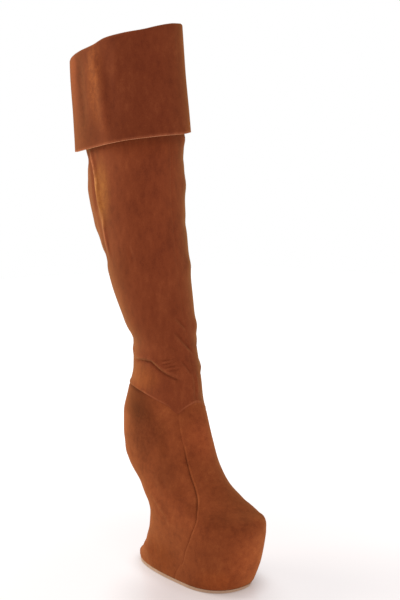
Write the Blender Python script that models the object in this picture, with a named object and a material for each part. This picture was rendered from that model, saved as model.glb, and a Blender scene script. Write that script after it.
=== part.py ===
"""Heelless wedge boot for the right foot, over the knee, with a folded cuff.

Metres, +Z up. The toe points along -Y and the wearer's left is +X. The origin is on the floor
under the middle of the ball line. The tables are in millimetres.

One function, outline, gives the outer skin at any angle round the boot and any height. Every
piece is worked out from it by an inset: the upper and the halves of the shaft are its wall, the
wedge and the insole lie inside that wall, the cuff hangs outside it. The toe spring bends them
all at the end.
"""
import math

import bmesh
import bpy
import numpy as np

MM = 0.001

# Driving sizes, millimetres.
WALL = 2.0
FIT_GAP = 0.3
OUTSOLE_THICK = 4.5
OUTSOLE_BEVEL = 0.8
INSOLE_THICK = 3.0
BED_DISH = 2.0
BED_HALF_WIDTH = 40.0
TOE_SPRING = 1.5
SPRING_FROM_Y = -25.0
SPRING_LENGTH = 45.0
SPRING_FADE_HEIGHT = 140.0

# The rim and the hem of the cuff are near to planes: height over the boot's middle line at y = 0,
# and what they gain per millimetre to the back and to the wearer's left. The levels are their
# mean heights, and the two tables further down say how far they leave their planes.
RIM_HEIGHT = 664.0
RIM_BACK_SLOPE = -0.20
RIM_SIDE_SLOPE = 0.10
HEM_HEIGHT = 539.0
HEM_BACK_SLOPE = -0.117
HEM_SIDE_SLOPE = 0.11
RIM_LEVEL = 640.0
HEM_LEVEL = 525.0

# The fold, the room between shaft and hem, the slit at the back and its rounded corners. The
# radius and the drop are the cuff's mean ones, which turn lengths along it into shares.
FOLD_RADIUS = 2.5
FOLD_GAP = 0.8
HEM_CLEAR_FRONT = 9.4
HEM_CLEAR_SIDE = 2.4
HEM_CLEAR_BACK = 17.0
SLIT_TOP_HALF = 0.3
SLIT_HEM_HALF = 10.0
SLIT_REACH = 22.0
CORNER_RADIUS = 18.0
CUFF_RADIUS = 74.0
CUFF_DROP = 120.0

# The columns of the foot's meshes lean forward by this many radians between these heights, so
# that they cross the slope of the footbed instead of running along it.
LEAN_ANGLE = 0.5
LEAN_FROM = 50.0
LEAN_TO = 130.0

# Mesh counts. The columns of the foot are evenly spaced at one level, and the rows above the
# footbed and up the shaft crowd towards their lower ends by a power.
FOOT_COLUMNS = 52
EVEN_LEVEL = 40.0
CUFF_COLUMNS = 42
WEDGE_ROWS = 10
VAMP_ROWS = 12
SHAFT_ROWS = 14
DROP_ROWS = 6
FOLD_ROWS = 4
BED_COLUMNS = 4
VAMP_CROWDING = 1.4
SHAFT_CROWDING = 1.35

# Colours and roughness of the pieces.
OUTSOLE_LOOK = ((0.55, 0.38, 0.26), 0.7)
WEDGE_LOOK = ((0.45, 0.33, 0.22), 0.8)
INSOLE_LOOK = ((0.42, 0.27, 0.17), 0.7)
UPPER_LOOK = ((0.24, 0.085, 0.04), 0.9)
SHAFT_LOOK = ((0.21, 0.07, 0.035), 0.9)
CUFF_LOOK = ((0.18, 0.055, 0.03), 0.9)

# A row per level section of the outer skin, floor to rim. x_mid moves the section sideways,
# x_toe swings its toe to the inside, half_out and half_in are its half widths at y_wide, and
# n_front and n_back square its two ends, 2 being a plain ellipse.
SECTION_COLUMNS = ("z", "y_front", "y_back", "x_mid", "x_toe", "half_out", "half_in", "y_wide",
                   "n_front", "n_back")
SECTIONS = (
    (0.0, -60.0, 109.0, 0.0, 0.0, 44.0, 39.0, -6.0, 2.2, 2.8),
    (10.0, -64.0, 109.5, 0.0, 1.0, 45.0, 41.0, -5.0, 2.3, 2.8),
    (20.0, -67.5, 100.0, 0.0, 2.0, 45.4, 42.7, -4.5, 2.35, 2.75),
    (32.0, -71.0, 93.0, 0.0, 3.0, 45.8, 44.2, -4.0, 2.4, 2.7),
    (58.0, -76.5, 85.0, 0.0, 3.4, 48.0, 46.5, -2.0, 2.4, 2.6),
    (72.0, -78.5, 84.0, 0.0, 4.0, 48.5, 47.0, 2.0, 2.4, 2.5),
    (82.0, -72.0, 88.5, 0.0, 4.0, 47.0, 47.0, 8.0, 2.3, 2.5),
    (94.0, -47.5, 100.5, 0.0, 3.0, 45.0, 45.0, 22.0, 2.1, 2.5),
    (112.0, -23.0, 119.6, 0.0, 2.0, 40.8, 42.0, 48.0, 2.0, 2.4),
    (124.0, -13.0, 133.0, 0.0, 1.5, 40.4, 41.0, 58.0, 2.0, 2.3),
    (140.0, -5.0, 142.2, 0.0, 1.0, 39.0, 39.0, 68.0, 2.0, 2.2),
    (160.0, 2.0, 147.4, 0.0, 0.5, 38.0, 38.0, 74.0, 2.0, 2.2),
    (183.0, 10.0, 147.5, 0.0, 0.0, 37.0, 37.0, 77.0, 2.0, 2.2),
    (212.0, 20.0, 138.5, 0.0, 0.0, 36.0, 36.0, 79.0, 2.0, 2.1),
    (248.0, 28.5, 124.4, 0.0, 0.0, 34.8, 36.0, 79.0, 2.0, 2.1),
    (272.0, 35.3, 124.2, 0.0, 0.0, 34.8, 35.8, 80.0, 2.0, 2.0),
    (304.0, 39.8, 134.5, -2.0, 0.0, 41.8, 41.8, 88.0, 2.0, 2.0),
    (348.0, 45.3, 154.0, -5.0, 0.0, 46.8, 46.8, 99.0, 2.0, 2.0),
    (403.0, 49.5, 171.6, -9.0, 0.0, 48.4, 49.2, 111.0, 2.1, 2.0),
    (451.0, 52.0, 188.2, -12.0, 0.0, 51.0, 51.0, 120.0, 2.2, 2.0),
    (501.0, 52.0, 193.0, -13.0, 0.0, 51.0, 51.0, 123.0, 2.2, 2.0),
    (554.0, 54.0, 200.2, -14.0, 0.0, 52.8, 52.5, 128.0, 2.2, 2.1),
    (614.0, 56.4, 211.0, -15.0, 0.0, 54.6, 51.9, 133.0, 2.2, 2.2),
    (669.0, 56.4, 217.5, -16.0, 0.0, 55.2, 51.7, 137.0, 2.2, 2.2),
)

# Top of the wedge along the middle of the foot.
FOOTBED_COLUMNS = ("y", "z")
FOOTBED = (
    (-80.0, 61.0),
    (-55.0, 57.5),
    (-28.0, 57.0),
    (0.0, 66.0),
    (30.0, 86.0),
    (60.0, 110.0),
    (85.0, 129.0),
    (105.0, 141.0),
    (125.0, 147.0),
    (150.0, 150.0),
)

# Height of the ankle seam, by degrees round from the toe, the same on both sides.
SEAM_COLUMNS = ("degrees", "z")
SEAM = (
    (0.0, 211.0),
    (10.0, 209.5),
    (22.0, 206.0),
    (31.0, 202.0),
    (38.0, 198.0),
    (51.0, 206.5),
    (65.0, 211.2),
    (76.0, 215.0),
    (94.0, 220.3),
    (112.0, 223.3),
    (180.0, 226.5),
)

# How far the rim and the hem stand above their planes, by degrees round from the toe, positive
# to the wearer's left: the rim waves and peaks at the front, the hem rises out of sight behind.
WAVE_COLUMNS = ("degrees", "z")
RIM_WAVE = (
    (-180.0, 2.0),
    (-126.0, 2.5),
    (-102.0, 1.6),
    (-84.0, 0.0),
    (-71.0, 1.7),
    (-52.0, 0.2),
    (-29.0, -1.4),
    (-12.0, 0.2),
    (6.0, 3.0),
    (20.0, 4.7),
    (30.0, 6.5),
    (38.0, 8.3),
    (48.0, 8.4),
    (62.0, 6.0),
    (84.0, 1.0),
    (180.0, 2.0),
)
HEM_WAVE = (
    (-180.0, 9.0),
    (-162.0, 7.5),
    (-144.0, 0.8),
    (-134.0, -0.4),
    (-90.0, -0.8),
    (-60.0, -1.4),
    (-25.0, -2.6),
    (8.0, -2.4),
    (24.0, -0.4),
    (45.0, 2.0),
    (90.0, 6.0),
    (135.0, 8.5),
    (180.0, 9.0),
)


def smooth_curve(knots, values, at):
    """Value at each place of a curve through the knots that never overshoots them."""
    knots = np.asarray(knots, dtype=float)
    values = np.asarray(values, dtype=float)
    at = np.clip(np.asarray(at, dtype=float), knots[0], knots[-1])
    step = np.diff(knots)
    slope = np.diff(values) / step
    tangent = np.zeros_like(values)
    tangent[0] = slope[0]
    tangent[-1] = slope[-1]
    for i in range(1, len(knots) - 1):
        if slope[i - 1] * slope[i] > 0.0:
            before = 2.0 * step[i] + step[i - 1]
            after = step[i] + 2.0 * step[i - 1]
            tangent[i] = (before + after) / (before / slope[i - 1] + after / slope[i])
    i = np.clip(np.searchsorted(knots, at) - 1, 0, len(knots) - 2)
    t = (at - knots[i]) / step[i]
    start = (2.0 * t**3 - 3.0 * t**2 + 1.0) * values[i] + (t**3 - 2.0 * t**2 + t) * step[i] * tangent[i]
    end = (3.0 * t**2 - 2.0 * t**3) * values[i + 1] + (t**3 - t**2) * step[i] * tangent[i + 1]
    return start + end


def read_table(table, columns, key, name, at):
    """Smooth value of one named column of a table, at places along its key column."""
    key_index = columns.index(key)
    name_index = columns.index(name)
    return smooth_curve([row[key_index] for row in table], [row[name_index] for row in table], at)


def section_value(name, z):
    """One column of the section table at the given heights."""
    return read_table(SECTIONS, SECTION_COLUMNS, "z", name, z)


def outline(phi, z):
    """Outer skin at angle phi round from the toe, positive to the wearer's left, and height z."""
    forward = np.cos(phi)
    sideways = np.sin(phi)
    is_front = forward > 0.0
    square = np.where(is_front, section_value("n_front", z), section_value("n_back", z))
    y_wide = section_value("y_wide", z)
    end = np.where(is_front, section_value("y_front", z), section_value("y_back", z))
    half = np.where(sideways > 0.0, section_value("half_in", z), section_value("half_out", z))
    swing = np.where(is_front, section_value("x_toe", z), 0.0) * forward**2
    reach = np.abs(forward) ** (2.0 / square)
    spread = np.sign(sideways) * np.abs(sideways) ** (2.0 / square)
    x = section_value("x_mid", z) + swing + half * spread
    y = y_wide + (end - y_wide) * reach
    return np.stack([x, y, z + 0.0 * phi], axis=-1)


def offset_surface(surface, u, v, distance):
    """Points of a surface moved outwards by a distance, u running round it and v upwards."""
    small_u = 0.002
    small_v = 0.4
    along_u = surface(u + small_u, v) - surface(u - small_u, v)
    along_v = surface(u, v + small_v) - surface(u, v - small_v)
    normal = np.cross(along_u, along_v)
    normal = normal / np.linalg.norm(normal, axis=-1, keepdims=True)
    return surface(u, v) + distance * normal


def skin(phi, z, inset):
    """Skin moved inwards by inset, met at exactly the height z."""
    phi, z = np.broadcast_arrays(np.asarray(phi, dtype=float), np.asarray(z, dtype=float))
    ask = z.copy()
    for _ in range(6):
        points = offset_surface(outline, phi, ask, -inset)
        ask = ask - (points[..., 2] - z)
    points[..., 2] = z
    return points


def spring(points):
    """Toe spring: the sole and all that stands on it lift towards the tip of the toe."""
    ahead = np.clip((SPRING_FROM_Y - points[..., 1]) / SPRING_LENGTH, 0.0, None)
    fade = np.clip(1.0 - points[..., 2] / SPRING_FADE_HEIGHT, 0.0, 1.0)
    bent = points.copy()
    bent[..., 2] = points[..., 2] + TOE_SPRING * ahead**2 * fade
    return bent


def even_angles(count):
    """Angles evenly spaced along the outline at the even level, mirrored about the middle line."""
    fine = np.linspace(0.0, math.pi, 721)
    level = np.full_like(fine, EVEN_LEVEL)
    line = 0.5 * (outline(fine, level) + outline(-fine, level) * (-1.0, 1.0, 1.0))
    run = np.concatenate([[0.0], np.cumsum(np.linalg.norm(np.diff(line, axis=0), axis=1))])
    half = np.interp(np.linspace(0.0, run[-1], count // 2 + 1), run, fine)
    return np.concatenate([half, -half[-2:0:-1]])


def column_angle(column, z):
    """Angle round the boot of a mesh column at height z."""
    share = np.clip((z - LEAN_FROM) / (LEAN_TO - LEAN_FROM), 0.0, 1.0)
    return column - LEAN_ANGLE * np.sin(column) * share**2 * (3.0 - 2.0 * share)


def column_skin(column, z, inset):
    """Inset skin along mesh columns."""
    return skin(column_angle(column, z), z, inset)


def bed_height(x, y):
    """Height of the footbed, dished a little towards its middle."""
    across = np.clip(x / BED_HALF_WIDTH, -1.0, 1.0)
    return read_table(FOOTBED, FOOTBED_COLUMNS, "y", "z", y) - BED_DISH * (1.0 - across**2)


def bed_edge(column, inset, lift):
    """Height at which each column of the inset skin meets the footbed raised by lift."""
    low = np.full_like(column, OUTSOLE_THICK)
    high = np.full_like(column, 175.0)
    for _ in range(40):
        middle = 0.5 * (low + high)
        points = column_skin(column, middle, inset)
        below = middle < bed_height(points[..., 0], points[..., 1]) + lift
        low = np.where(below, middle, low)
        high = np.where(below, high, middle)
    return 0.5 * (low + high)


def seam_height(phi):
    """Height of the ankle seam at each angle."""
    degrees = np.degrees(np.abs(np.arctan2(np.sin(phi), np.cos(phi))))
    return read_table(SEAM, SEAM_COLUMNS, "degrees", "z", degrees)


def plane_height(height, back_slope, side_slope, points):
    """Height of a tilted plane over points."""
    return height + back_slope * points[..., 1] + side_slope * points[..., 0]


def wave(table, phi):
    """How far an edge stands above its plane at each angle."""
    return read_table(table, WAVE_COLUMNS, "degrees", "z", np.degrees(np.arctan2(np.sin(phi), np.cos(phi))))


def rim_height(phi):
    """Height of the shaft's top edge, where the skin meets the rim plane, with its wave."""
    z = np.full_like(phi, RIM_LEVEL)
    for _ in range(12):
        z = plane_height(RIM_HEIGHT, RIM_BACK_SLOPE, RIM_SIDE_SLOPE, outline(phi, z))
    return z + wave(RIM_WAVE, phi)


def hem_height(phi):
    """Height of the cuff's lower edge, with its wave."""
    points = outline(phi, np.full_like(phi, HEM_LEVEL))
    return plane_height(HEM_HEIGHT, HEM_BACK_SLOPE, HEM_SIDE_SLOPE, points) + wave(HEM_WAVE, phi)


def make_object(name, points, faces, look):
    """One closed mesh object in metres, with its own material."""
    color, roughness = look
    mesh = bpy.data.meshes.new(name)
    mesh.from_pydata((spring(np.asarray(points)) * MM).tolist(), [], faces)
    work = bmesh.new()
    work.from_mesh(mesh)
    bmesh.ops.recalc_face_normals(work, faces=work.faces)
    work.to_mesh(mesh)
    work.free()
    material = bpy.data.materials.new(name)
    material.use_nodes = True
    shader = material.node_tree.nodes["Principled BSDF"]
    shader.inputs["Base Color"].default_value = (*color, 1.0)
    shader.inputs["Roughness"].default_value = roughness
    mesh.materials.append(material)
    item = bpy.data.objects.new(name, mesh)
    bpy.context.scene.collection.objects.link(item)
    return item


def grid_faces(rows, columns, start, closed):
    """Triangles of a grid of points numbered row by row, joined round to itself where closed.

    Every square is split along the same diagonal, so two skins one inside the other stay apart.
    """
    faces = []
    for r in range(rows - 1):
        for c in range(columns if closed else columns - 1):
            d = (c + 1) % columns
            base = start + r * columns
            faces.append((base + c, base + d, base + columns + d))
            faces.append((base + c, base + columns + d, base + columns + c))
    return faces


def hollow_wall(name, outer, inner, closed, look):
    """A wall between two grids of points, closed along every edge."""
    rows, columns = outer.shape[:2]
    count = rows * columns
    points = np.concatenate([outer.reshape(-1, 3), inner.reshape(-1, 3)])
    faces = grid_faces(rows, columns, 0, closed)
    faces += [tuple(reversed(face)) for face in grid_faces(rows, columns, count, closed)]
    for first in (0, count - columns):
        for c in range(columns if closed else columns - 1):
            a = first + c
            b = first + (c + 1) % columns
            faces.append((a, b, b + count, a + count))
    if not closed:
        for c in (0, columns - 1):
            for r in range(rows - 1):
                a = r * columns + c
                b = a + columns
                faces.append((a, b, b + count, a + count))
    return make_object(name, points, faces, look)


def cap(points, faces, ring_start, ring_size, height):
    """Close a ring with rows of triangles from side to side, their heights from a function."""
    half = ring_size // 2
    rows = []
    for i in range(1, half):
        left = np.asarray(points[ring_start + i])
        right = np.asarray(points[ring_start + ring_size - i])
        row = [ring_start + i]
        for k in range(1, BED_COLUMNS + 1):
            middle = left + (right - left) * k / (BED_COLUMNS + 1)
            middle[2] = height(middle[0], middle[1])
            row.append(len(points))
            points.append(middle)
        row.append(ring_start + ring_size - i)
        rows.append(row)
    for a, b in zip(rows[:-1], rows[1:]):
        for k in range(len(a) - 1):
            faces.append((a[k], a[k + 1], b[k + 1]))
            faces.append((a[k], b[k + 1], b[k]))
    for tip, row in ((ring_start, rows[0]), (ring_start + half, rows[-1])):
        for k in range(len(row) - 1):
            faces.append((tip, row[k], row[k + 1]))


def capped_body(name, rings, bottom, top, look):
    """A solid body from level rings, closed below and above."""
    rows, columns = rings.shape[:2]
    points = list(rings.reshape(-1, 3))
    faces = grid_faces(rows, columns, 0, True)
    cap(points, faces, 0, columns, bottom)
    cap(points, faces, (rows - 1) * columns, columns, top)
    return make_object(name, points, faces, look)


def build_outsole():
    """Thin sole with a small bevel round its tread."""
    phi = even_angles(FOOT_COLUMNS)
    levels = ((0.0, OUTSOLE_BEVEL), (OUTSOLE_BEVEL, 0.0), (OUTSOLE_THICK, 0.0))
    rings = np.stack([skin(phi, z, inset) for z, inset in levels])
    capped_body("outsole", rings, lambda x, y: 0.0, lambda x, y: OUTSOLE_THICK, OUTSOLE_LOOK)


def wedge_columns():
    """Mesh columns of the foot and the heights at which the wedge's sides end."""
    column = even_angles(FOOT_COLUMNS)
    return column, bed_edge(column, WALL + FIT_GAP, 0.0)


def build_wedge():
    """Core that fills the skin from the outsole up to the footbed."""
    column, edge = wedge_columns()
    base = OUTSOLE_THICK + FIT_GAP
    levels = base + (edge - base) * np.linspace(0.0, 1.0, WEDGE_ROWS)[:, None]
    rings = column_skin(column, levels, WALL + FIT_GAP)
    capped_body("wedge", rings, lambda x, y: base, bed_height, WEDGE_LOOK)


def build_insole():
    """Sock on the footbed, a sheet of even thickness."""
    column = even_angles(FOOT_COLUMNS)
    inset = WALL + 2.0 * FIT_GAP
    under = FIT_GAP
    over = FIT_GAP + INSOLE_THICK
    rings = np.stack([column_skin(column, bed_edge(column, inset, lift), inset) for lift in (under, over)])
    capped_body("insole", rings, lambda x, y: bed_height(x, y) + under,
                lambda x, y: bed_height(x, y) + over, INSOLE_LOOK)


def ankle_seam(column):
    """Height of the ankle seam on each mesh column, all of which have their full lean there."""
    return seam_height(column_angle(column, LEAN_TO))


def build_upper():
    """Hollow skin of foot and wedge, from the outsole to the ankle seam."""
    column, edge = wedge_columns()
    base = OUTSOLE_THICK + FIT_GAP
    top = ankle_seam(column) - 0.5 * FIT_GAP
    low = np.linspace(0.0, 1.0, WEDGE_ROWS)[:, None]
    high = (np.arange(1, VAMP_ROWS + 1)[:, None] / VAMP_ROWS) ** VAMP_CROWDING
    levels = np.concatenate([base + (edge - base) * low, edge + (top - edge) * high])
    hollow_wall("upper", column_skin(column, levels, 0.0), column_skin(column, levels, WALL), True,
                UPPER_LOOK)


def shaft_half(name, side):
    """One half of the leg's hollow wall, from the front seam to the back seam on one side."""
    half = FOOT_COLUMNS // 2 + 1
    column = side * even_angles(FOOT_COLUMNS)[:half]
    base = ankle_seam(column) + 0.5 * FIT_GAP
    top = rim_height(column_angle(column, LEAN_TO))
    levels = base + (top - base) * np.linspace(0.0, 1.0, SHAFT_ROWS)[:, None] ** SHAFT_CROWDING
    faces = [column_skin(column, levels, inset) for inset in (0.0, WALL)]
    for face in faces:
        face[:, (0, -1), 0] += side * 0.5 * FIT_GAP
    hollow_wall(name, faces[0], faces[1], False, SHAFT_LOOK)


def build_shaft():
    """Hollow leg from the ankle seam to the rim under the fold, an outer and an inner half."""
    shaft_half("shaft_outer", -1.0)
    shaft_half("shaft_inner", 1.0)


def hem_clear(phi):
    """Room between the shaft and the cuff at the hem."""
    end = np.where(np.cos(phi) > 0.0, HEM_CLEAR_FRONT, HEM_CLEAR_BACK)
    return HEM_CLEAR_SIDE + (end - HEM_CLEAR_SIDE) * np.cos(phi) ** 2


def cuff_middle(phi, along):
    """Middle of the cuff's wall: along runs 0 to 1 over the fold, then to 2 down to the hem."""
    turn = np.clip(along, 0.0, 1.0) * math.pi
    drop = np.clip(along - 1.0, 0.0, 1.0)
    top = rim_height(phi) + FOLD_GAP
    start = 2.0 * FOLD_RADIUS - 0.5 * WALL
    out = FOLD_RADIUS * (1.0 - np.cos(turn)) - 0.5 * WALL
    out = out + (hem_clear(phi) + 0.5 * WALL - start) * drop
    z = top + FOLD_RADIUS * np.sin(turn) - (top - hem_height(phi)) * drop
    base = outline(phi, np.minimum(z, top))
    ahead = outline(phi + 0.002, np.minimum(z, top)) - base
    level = np.stack([ahead[..., 1], -ahead[..., 0]], axis=-1)
    level = level / np.linalg.norm(level, axis=-1, keepdims=True)
    return np.stack([base[..., 0] + out * level[..., 0], base[..., 1] + out * level[..., 1], z], axis=-1)


def cuff_face(angles, along, distance):
    """Cuff's middle moved to one face of its wall."""
    small = 0.004
    round_it = cuff_middle(angles + small, along) - cuff_middle(angles - small, along)
    down_it = cuff_middle(angles, np.minimum(along + small, 2.0)) - cuff_middle(angles, along - small)
    normal = np.cross(down_it, round_it)
    normal = normal / np.linalg.norm(normal, axis=-1, keepdims=True)
    return cuff_middle(angles, along) + distance * normal


def build_cuff():
    """Folded top: a strip round the leg, parted at the back, with rounded lower corners."""
    from_slit = np.array([0.0, 0.08, 0.28, 0.58, 1.0, 1.55]) * CORNER_RADIUS
    ends = math.pi - from_slit / CUFF_RADIUS
    middle = np.linspace(-ends[-1], ends[-1], CUFF_COLUMNS - 10)
    columns = np.concatenate([-ends[:-1], middle, ends[-2::-1]])
    from_slit = (math.pi - np.abs(columns)) * CUFF_RADIUS
    bite = np.clip(1.0 - from_slit / CORNER_RADIUS, 0.0, 1.0)
    rounding = CORNER_RADIUS * (1.0 - np.sqrt(1.0 - bite**2)) / CUFF_DROP
    turn = np.concatenate([np.linspace(0.0, 1.0, FOLD_ROWS + 1), np.ones(DROP_ROWS)])
    fall = np.concatenate([np.zeros(FOLD_ROWS), np.linspace(0.0, 1.0, DROP_ROWS + 1)])
    fall = fall[:, None] * (1.0 - rounding)
    along = turn[:, None] + fall
    parting = (SLIT_TOP_HALF + (SLIT_HEM_HALF - SLIT_TOP_HALF) * fall) / CUFF_RADIUS
    angles = columns - np.sign(columns) * parting * np.exp(-((from_slit / SLIT_REACH) ** 2))
    hollow_wall("cuff", cuff_face(angles, along, 0.5 * WALL), cuff_face(angles, along, -0.5 * WALL), False,
                CUFF_LOOK)


def main():
    """Clear the scene and build every piece."""
    for item in list(bpy.data.objects):
        bpy.data.objects.remove(item)
    build_outsole()
    build_wedge()
    build_insole()
    build_upper()
    build_shaft()
    build_cuff()


main()
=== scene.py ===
"""Studio scene of a suede wedge boot: its skins, seams, creases, studded back and a pale stage.

The CAD frame gives the pieces and their places. Lengths inside the classes are millimetres in
the boot's own frame: +Z up, the toe along -Y, the wearer's left along +X. An angle round the boot
starts at the toe and grows towards +X, so the outer side, the one the camera sees, is negative.
"""

import logging
import math
from collections.abc import Callable
from dataclasses import dataclass, field
from enum import Enum

import bpy
import numpy as np
from mathutils import Matrix, Vector


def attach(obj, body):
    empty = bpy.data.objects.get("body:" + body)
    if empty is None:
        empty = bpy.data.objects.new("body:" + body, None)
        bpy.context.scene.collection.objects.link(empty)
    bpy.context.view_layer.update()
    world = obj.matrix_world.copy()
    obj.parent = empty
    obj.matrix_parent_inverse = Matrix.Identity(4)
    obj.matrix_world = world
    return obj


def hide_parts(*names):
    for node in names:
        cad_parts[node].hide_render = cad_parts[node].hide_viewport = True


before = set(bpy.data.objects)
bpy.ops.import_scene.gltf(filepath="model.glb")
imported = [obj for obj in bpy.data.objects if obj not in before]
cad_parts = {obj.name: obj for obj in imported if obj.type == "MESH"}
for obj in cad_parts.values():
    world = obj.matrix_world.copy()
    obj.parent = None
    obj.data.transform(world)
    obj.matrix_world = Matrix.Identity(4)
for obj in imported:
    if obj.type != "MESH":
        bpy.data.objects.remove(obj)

LOG = logging.getLogger("wedge_boot")
MM = 0.001
MERGE_DISTANCE = 1e-6
Color = tuple[float, float, float]
Spot = tuple[float, float, float]
Place = tuple[float, float]
Surface = Callable[[np.ndarray, np.ndarray], tuple[np.ndarray, np.ndarray]]


@dataclass(frozen=True)
class Curve:
    """A smooth curve through given points that never overshoots them."""

    points: tuple[Place, ...]

    def at(self, place: np.ndarray) -> np.ndarray:
        """Height of the curve.

        Args:
            place: Where to read it, held at the curve's ends outside them.

        Returns:
            The height at each place.
        """
        knots = np.array([point[0] for point in self.points], dtype=float)
        values = np.array([point[1] for point in self.points], dtype=float)
        place = np.clip(np.asarray(place, dtype=float), knots[0], knots[-1])
        step = np.diff(knots)
        slope = np.diff(values) / step
        tangent = np.zeros_like(values)
        tangent[0] = slope[0]
        tangent[-1] = slope[-1]
        for i in range(1, len(knots) - 1):
            if slope[i - 1] * slope[i] > 0.0:
                before = 2.0 * step[i] + step[i - 1]
                after = step[i] + 2.0 * step[i - 1]
                tangent[i] = (before + after) / (before / slope[i - 1] + after / slope[i])
        i = np.clip(np.searchsorted(knots, place) - 1, 0, len(knots) - 2)
        t = (place - knots[i]) / step[i]
        low = (2.0 * t**3 - 3.0 * t**2 + 1.0) * values[i] + (t**3 - 2.0 * t**2 + t) * step[i] * tangent[i]
        high = (3.0 * t**2 - 2.0 * t**3) * values[i + 1] + (t**3 - t**2) * step[i] * tangent[i + 1]
        return low + high


class BootForm:
    """Outer skin of the boot, the same one that the CAD solids follow."""

    # A row per level section, floor to rim. x_mid moves it sideways, x_toe swings its toe to the
    # inside, half_out and half_in are its half widths at y_wide, and n_front and n_back square its
    # two ends, 2 being a plain ellipse.
    COLUMNS = ("z", "y_front", "y_back", "x_mid", "x_toe", "half_out", "half_in", "y_wide",
               "n_front", "n_back")
    SECTIONS = (
        (0.0, -60.0, 109.0, 0.0, 0.0, 44.0, 39.0, -6.0, 2.2, 2.8),
        (10.0, -64.0, 109.5, 0.0, 1.0, 45.0, 41.0, -5.0, 2.3, 2.8),
        (20.0, -67.5, 100.0, 0.0, 2.0, 45.4, 42.7, -4.5, 2.35, 2.75),
        (32.0, -71.0, 93.0, 0.0, 3.0, 45.8, 44.2, -4.0, 2.4, 2.7),
        (58.0, -76.5, 85.0, 0.0, 3.4, 48.0, 46.5, -2.0, 2.4, 2.6),
        (72.0, -78.5, 84.0, 0.0, 4.0, 48.5, 47.0, 2.0, 2.4, 2.5),
        (82.0, -72.0, 88.5, 0.0, 4.0, 47.0, 47.0, 8.0, 2.3, 2.5),
        (94.0, -47.5, 100.5, 0.0, 3.0, 45.0, 45.0, 22.0, 2.1, 2.5),
        (112.0, -23.0, 119.6, 0.0, 2.0, 40.8, 42.0, 48.0, 2.0, 2.4),
        (124.0, -13.0, 133.0, 0.0, 1.5, 40.4, 41.0, 58.0, 2.0, 2.3),
        (140.0, -5.0, 142.2, 0.0, 1.0, 39.0, 39.0, 68.0, 2.0, 2.2),
        (160.0, 2.0, 147.4, 0.0, 0.5, 38.0, 38.0, 74.0, 2.0, 2.2),
        (183.0, 10.0, 147.5, 0.0, 0.0, 37.0, 37.0, 77.0, 2.0, 2.2),
        (212.0, 20.0, 138.5, 0.0, 0.0, 36.0, 36.0, 79.0, 2.0, 2.1),
        (248.0, 28.5, 124.4, 0.0, 0.0, 34.8, 36.0, 79.0, 2.0, 2.1),
        (272.0, 35.3, 124.2, 0.0, 0.0, 34.8, 35.8, 80.0, 2.0, 2.0),
        (304.0, 39.8, 134.5, -2.0, 0.0, 41.8, 41.8, 88.0, 2.0, 2.0),
        (348.0, 45.3, 154.0, -5.0, 0.0, 46.8, 46.8, 99.0, 2.0, 2.0),
        (403.0, 49.5, 171.6, -9.0, 0.0, 48.4, 49.2, 111.0, 2.1, 2.0),
        (451.0, 52.0, 188.2, -12.0, 0.0, 51.0, 51.0, 120.0, 2.2, 2.0),
        (501.0, 52.0, 193.0, -13.0, 0.0, 51.0, 51.0, 123.0, 2.2, 2.0),
        (554.0, 54.0, 200.2, -14.0, 0.0, 52.8, 52.5, 128.0, 2.2, 2.1),
        (614.0, 56.4, 211.0, -15.0, 0.0, 54.6, 51.9, 133.0, 2.2, 2.2),
        (669.0, 56.4, 217.5, -16.0, 0.0, 55.2, 51.7, 137.0, 2.2, 2.2),
    )
    TOE_SPRING = 1.5
    SPRING_FROM_Y = -25.0
    SPRING_LENGTH = 45.0
    SPRING_FADE_HEIGHT = 140.0
    # Steps in radians and millimetres that the skin's slopes are read over.
    TURN_STEP = 0.01
    RISE_STEP = 0.6

    def __init__(self) -> None:
        """Make one curve for each column of the section table."""
        self.curves = {
            name: Curve(tuple((row[0], row[i]) for row in self.SECTIONS))
            for i, name in enumerate(self.COLUMNS)
        }

    def outline(self, phi: np.ndarray, z: np.ndarray) -> np.ndarray:
        """Points of the skin before the toe spring.

        Args:
            phi: Angles round the boot in radians.
            z: Heights.

        Returns:
            One point for each pair.
        """
        phi, z = np.broadcast_arrays(np.asarray(phi, dtype=float), np.asarray(z, dtype=float))
        row = {name: curve.at(z) for name, curve in self.curves.items()}
        forward = np.cos(phi)
        sideways = np.sin(phi)
        is_front = forward > 0.0
        square = np.where(is_front, row["n_front"], row["n_back"])
        end = np.where(is_front, row["y_front"], row["y_back"])
        half = np.where(sideways > 0.0, row["half_in"], row["half_out"])
        swing = np.where(is_front, row["x_toe"], 0.0) * forward**2
        reach = np.abs(forward) ** (2.0 / square)
        spread = np.sign(sideways) * np.abs(sideways) ** (2.0 / square)
        x = row["x_mid"] + swing + half * spread
        y = row["y_wide"] + (end - row["y_wide"]) * reach
        return np.stack([x, y, z], axis=-1)

    def normal(self, phi: np.ndarray, z: np.ndarray) -> np.ndarray:
        """Outward unit normals of the skin.

        Args:
            phi: Angles round the boot in radians.
            z: Heights.

        Returns:
            One unit vector for each pair.
        """
        turn = self.TURN_STEP
        rise = self.RISE_STEP
        along = self.outline(phi + turn, z) - self.outline(phi - turn, z)
        up = self.outline(phi, z + rise) - self.outline(phi, z - rise)
        normal = np.cross(along, up)
        return normal / np.linalg.norm(normal, axis=-1, keepdims=True)

    def spring(self, points: np.ndarray) -> np.ndarray:
        """Bend points by the toe spring, which lifts the sole and what stands on it.

        Args:
            points: Points of a boot whose toe lies flat.

        Returns:
            The same points with the toe lifted.
        """
        ahead = np.clip((self.SPRING_FROM_Y - points[..., 1]) / self.SPRING_LENGTH, 0.0, None)
        fade = np.clip(1.0 - points[..., 2] / self.SPRING_FADE_HEIGHT, 0.0, 1.0)
        bent = points.copy()
        bent[..., 2] = points[..., 2] + self.TOE_SPRING * ahead**2 * fade
        return bent


FORM = BootForm()


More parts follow.
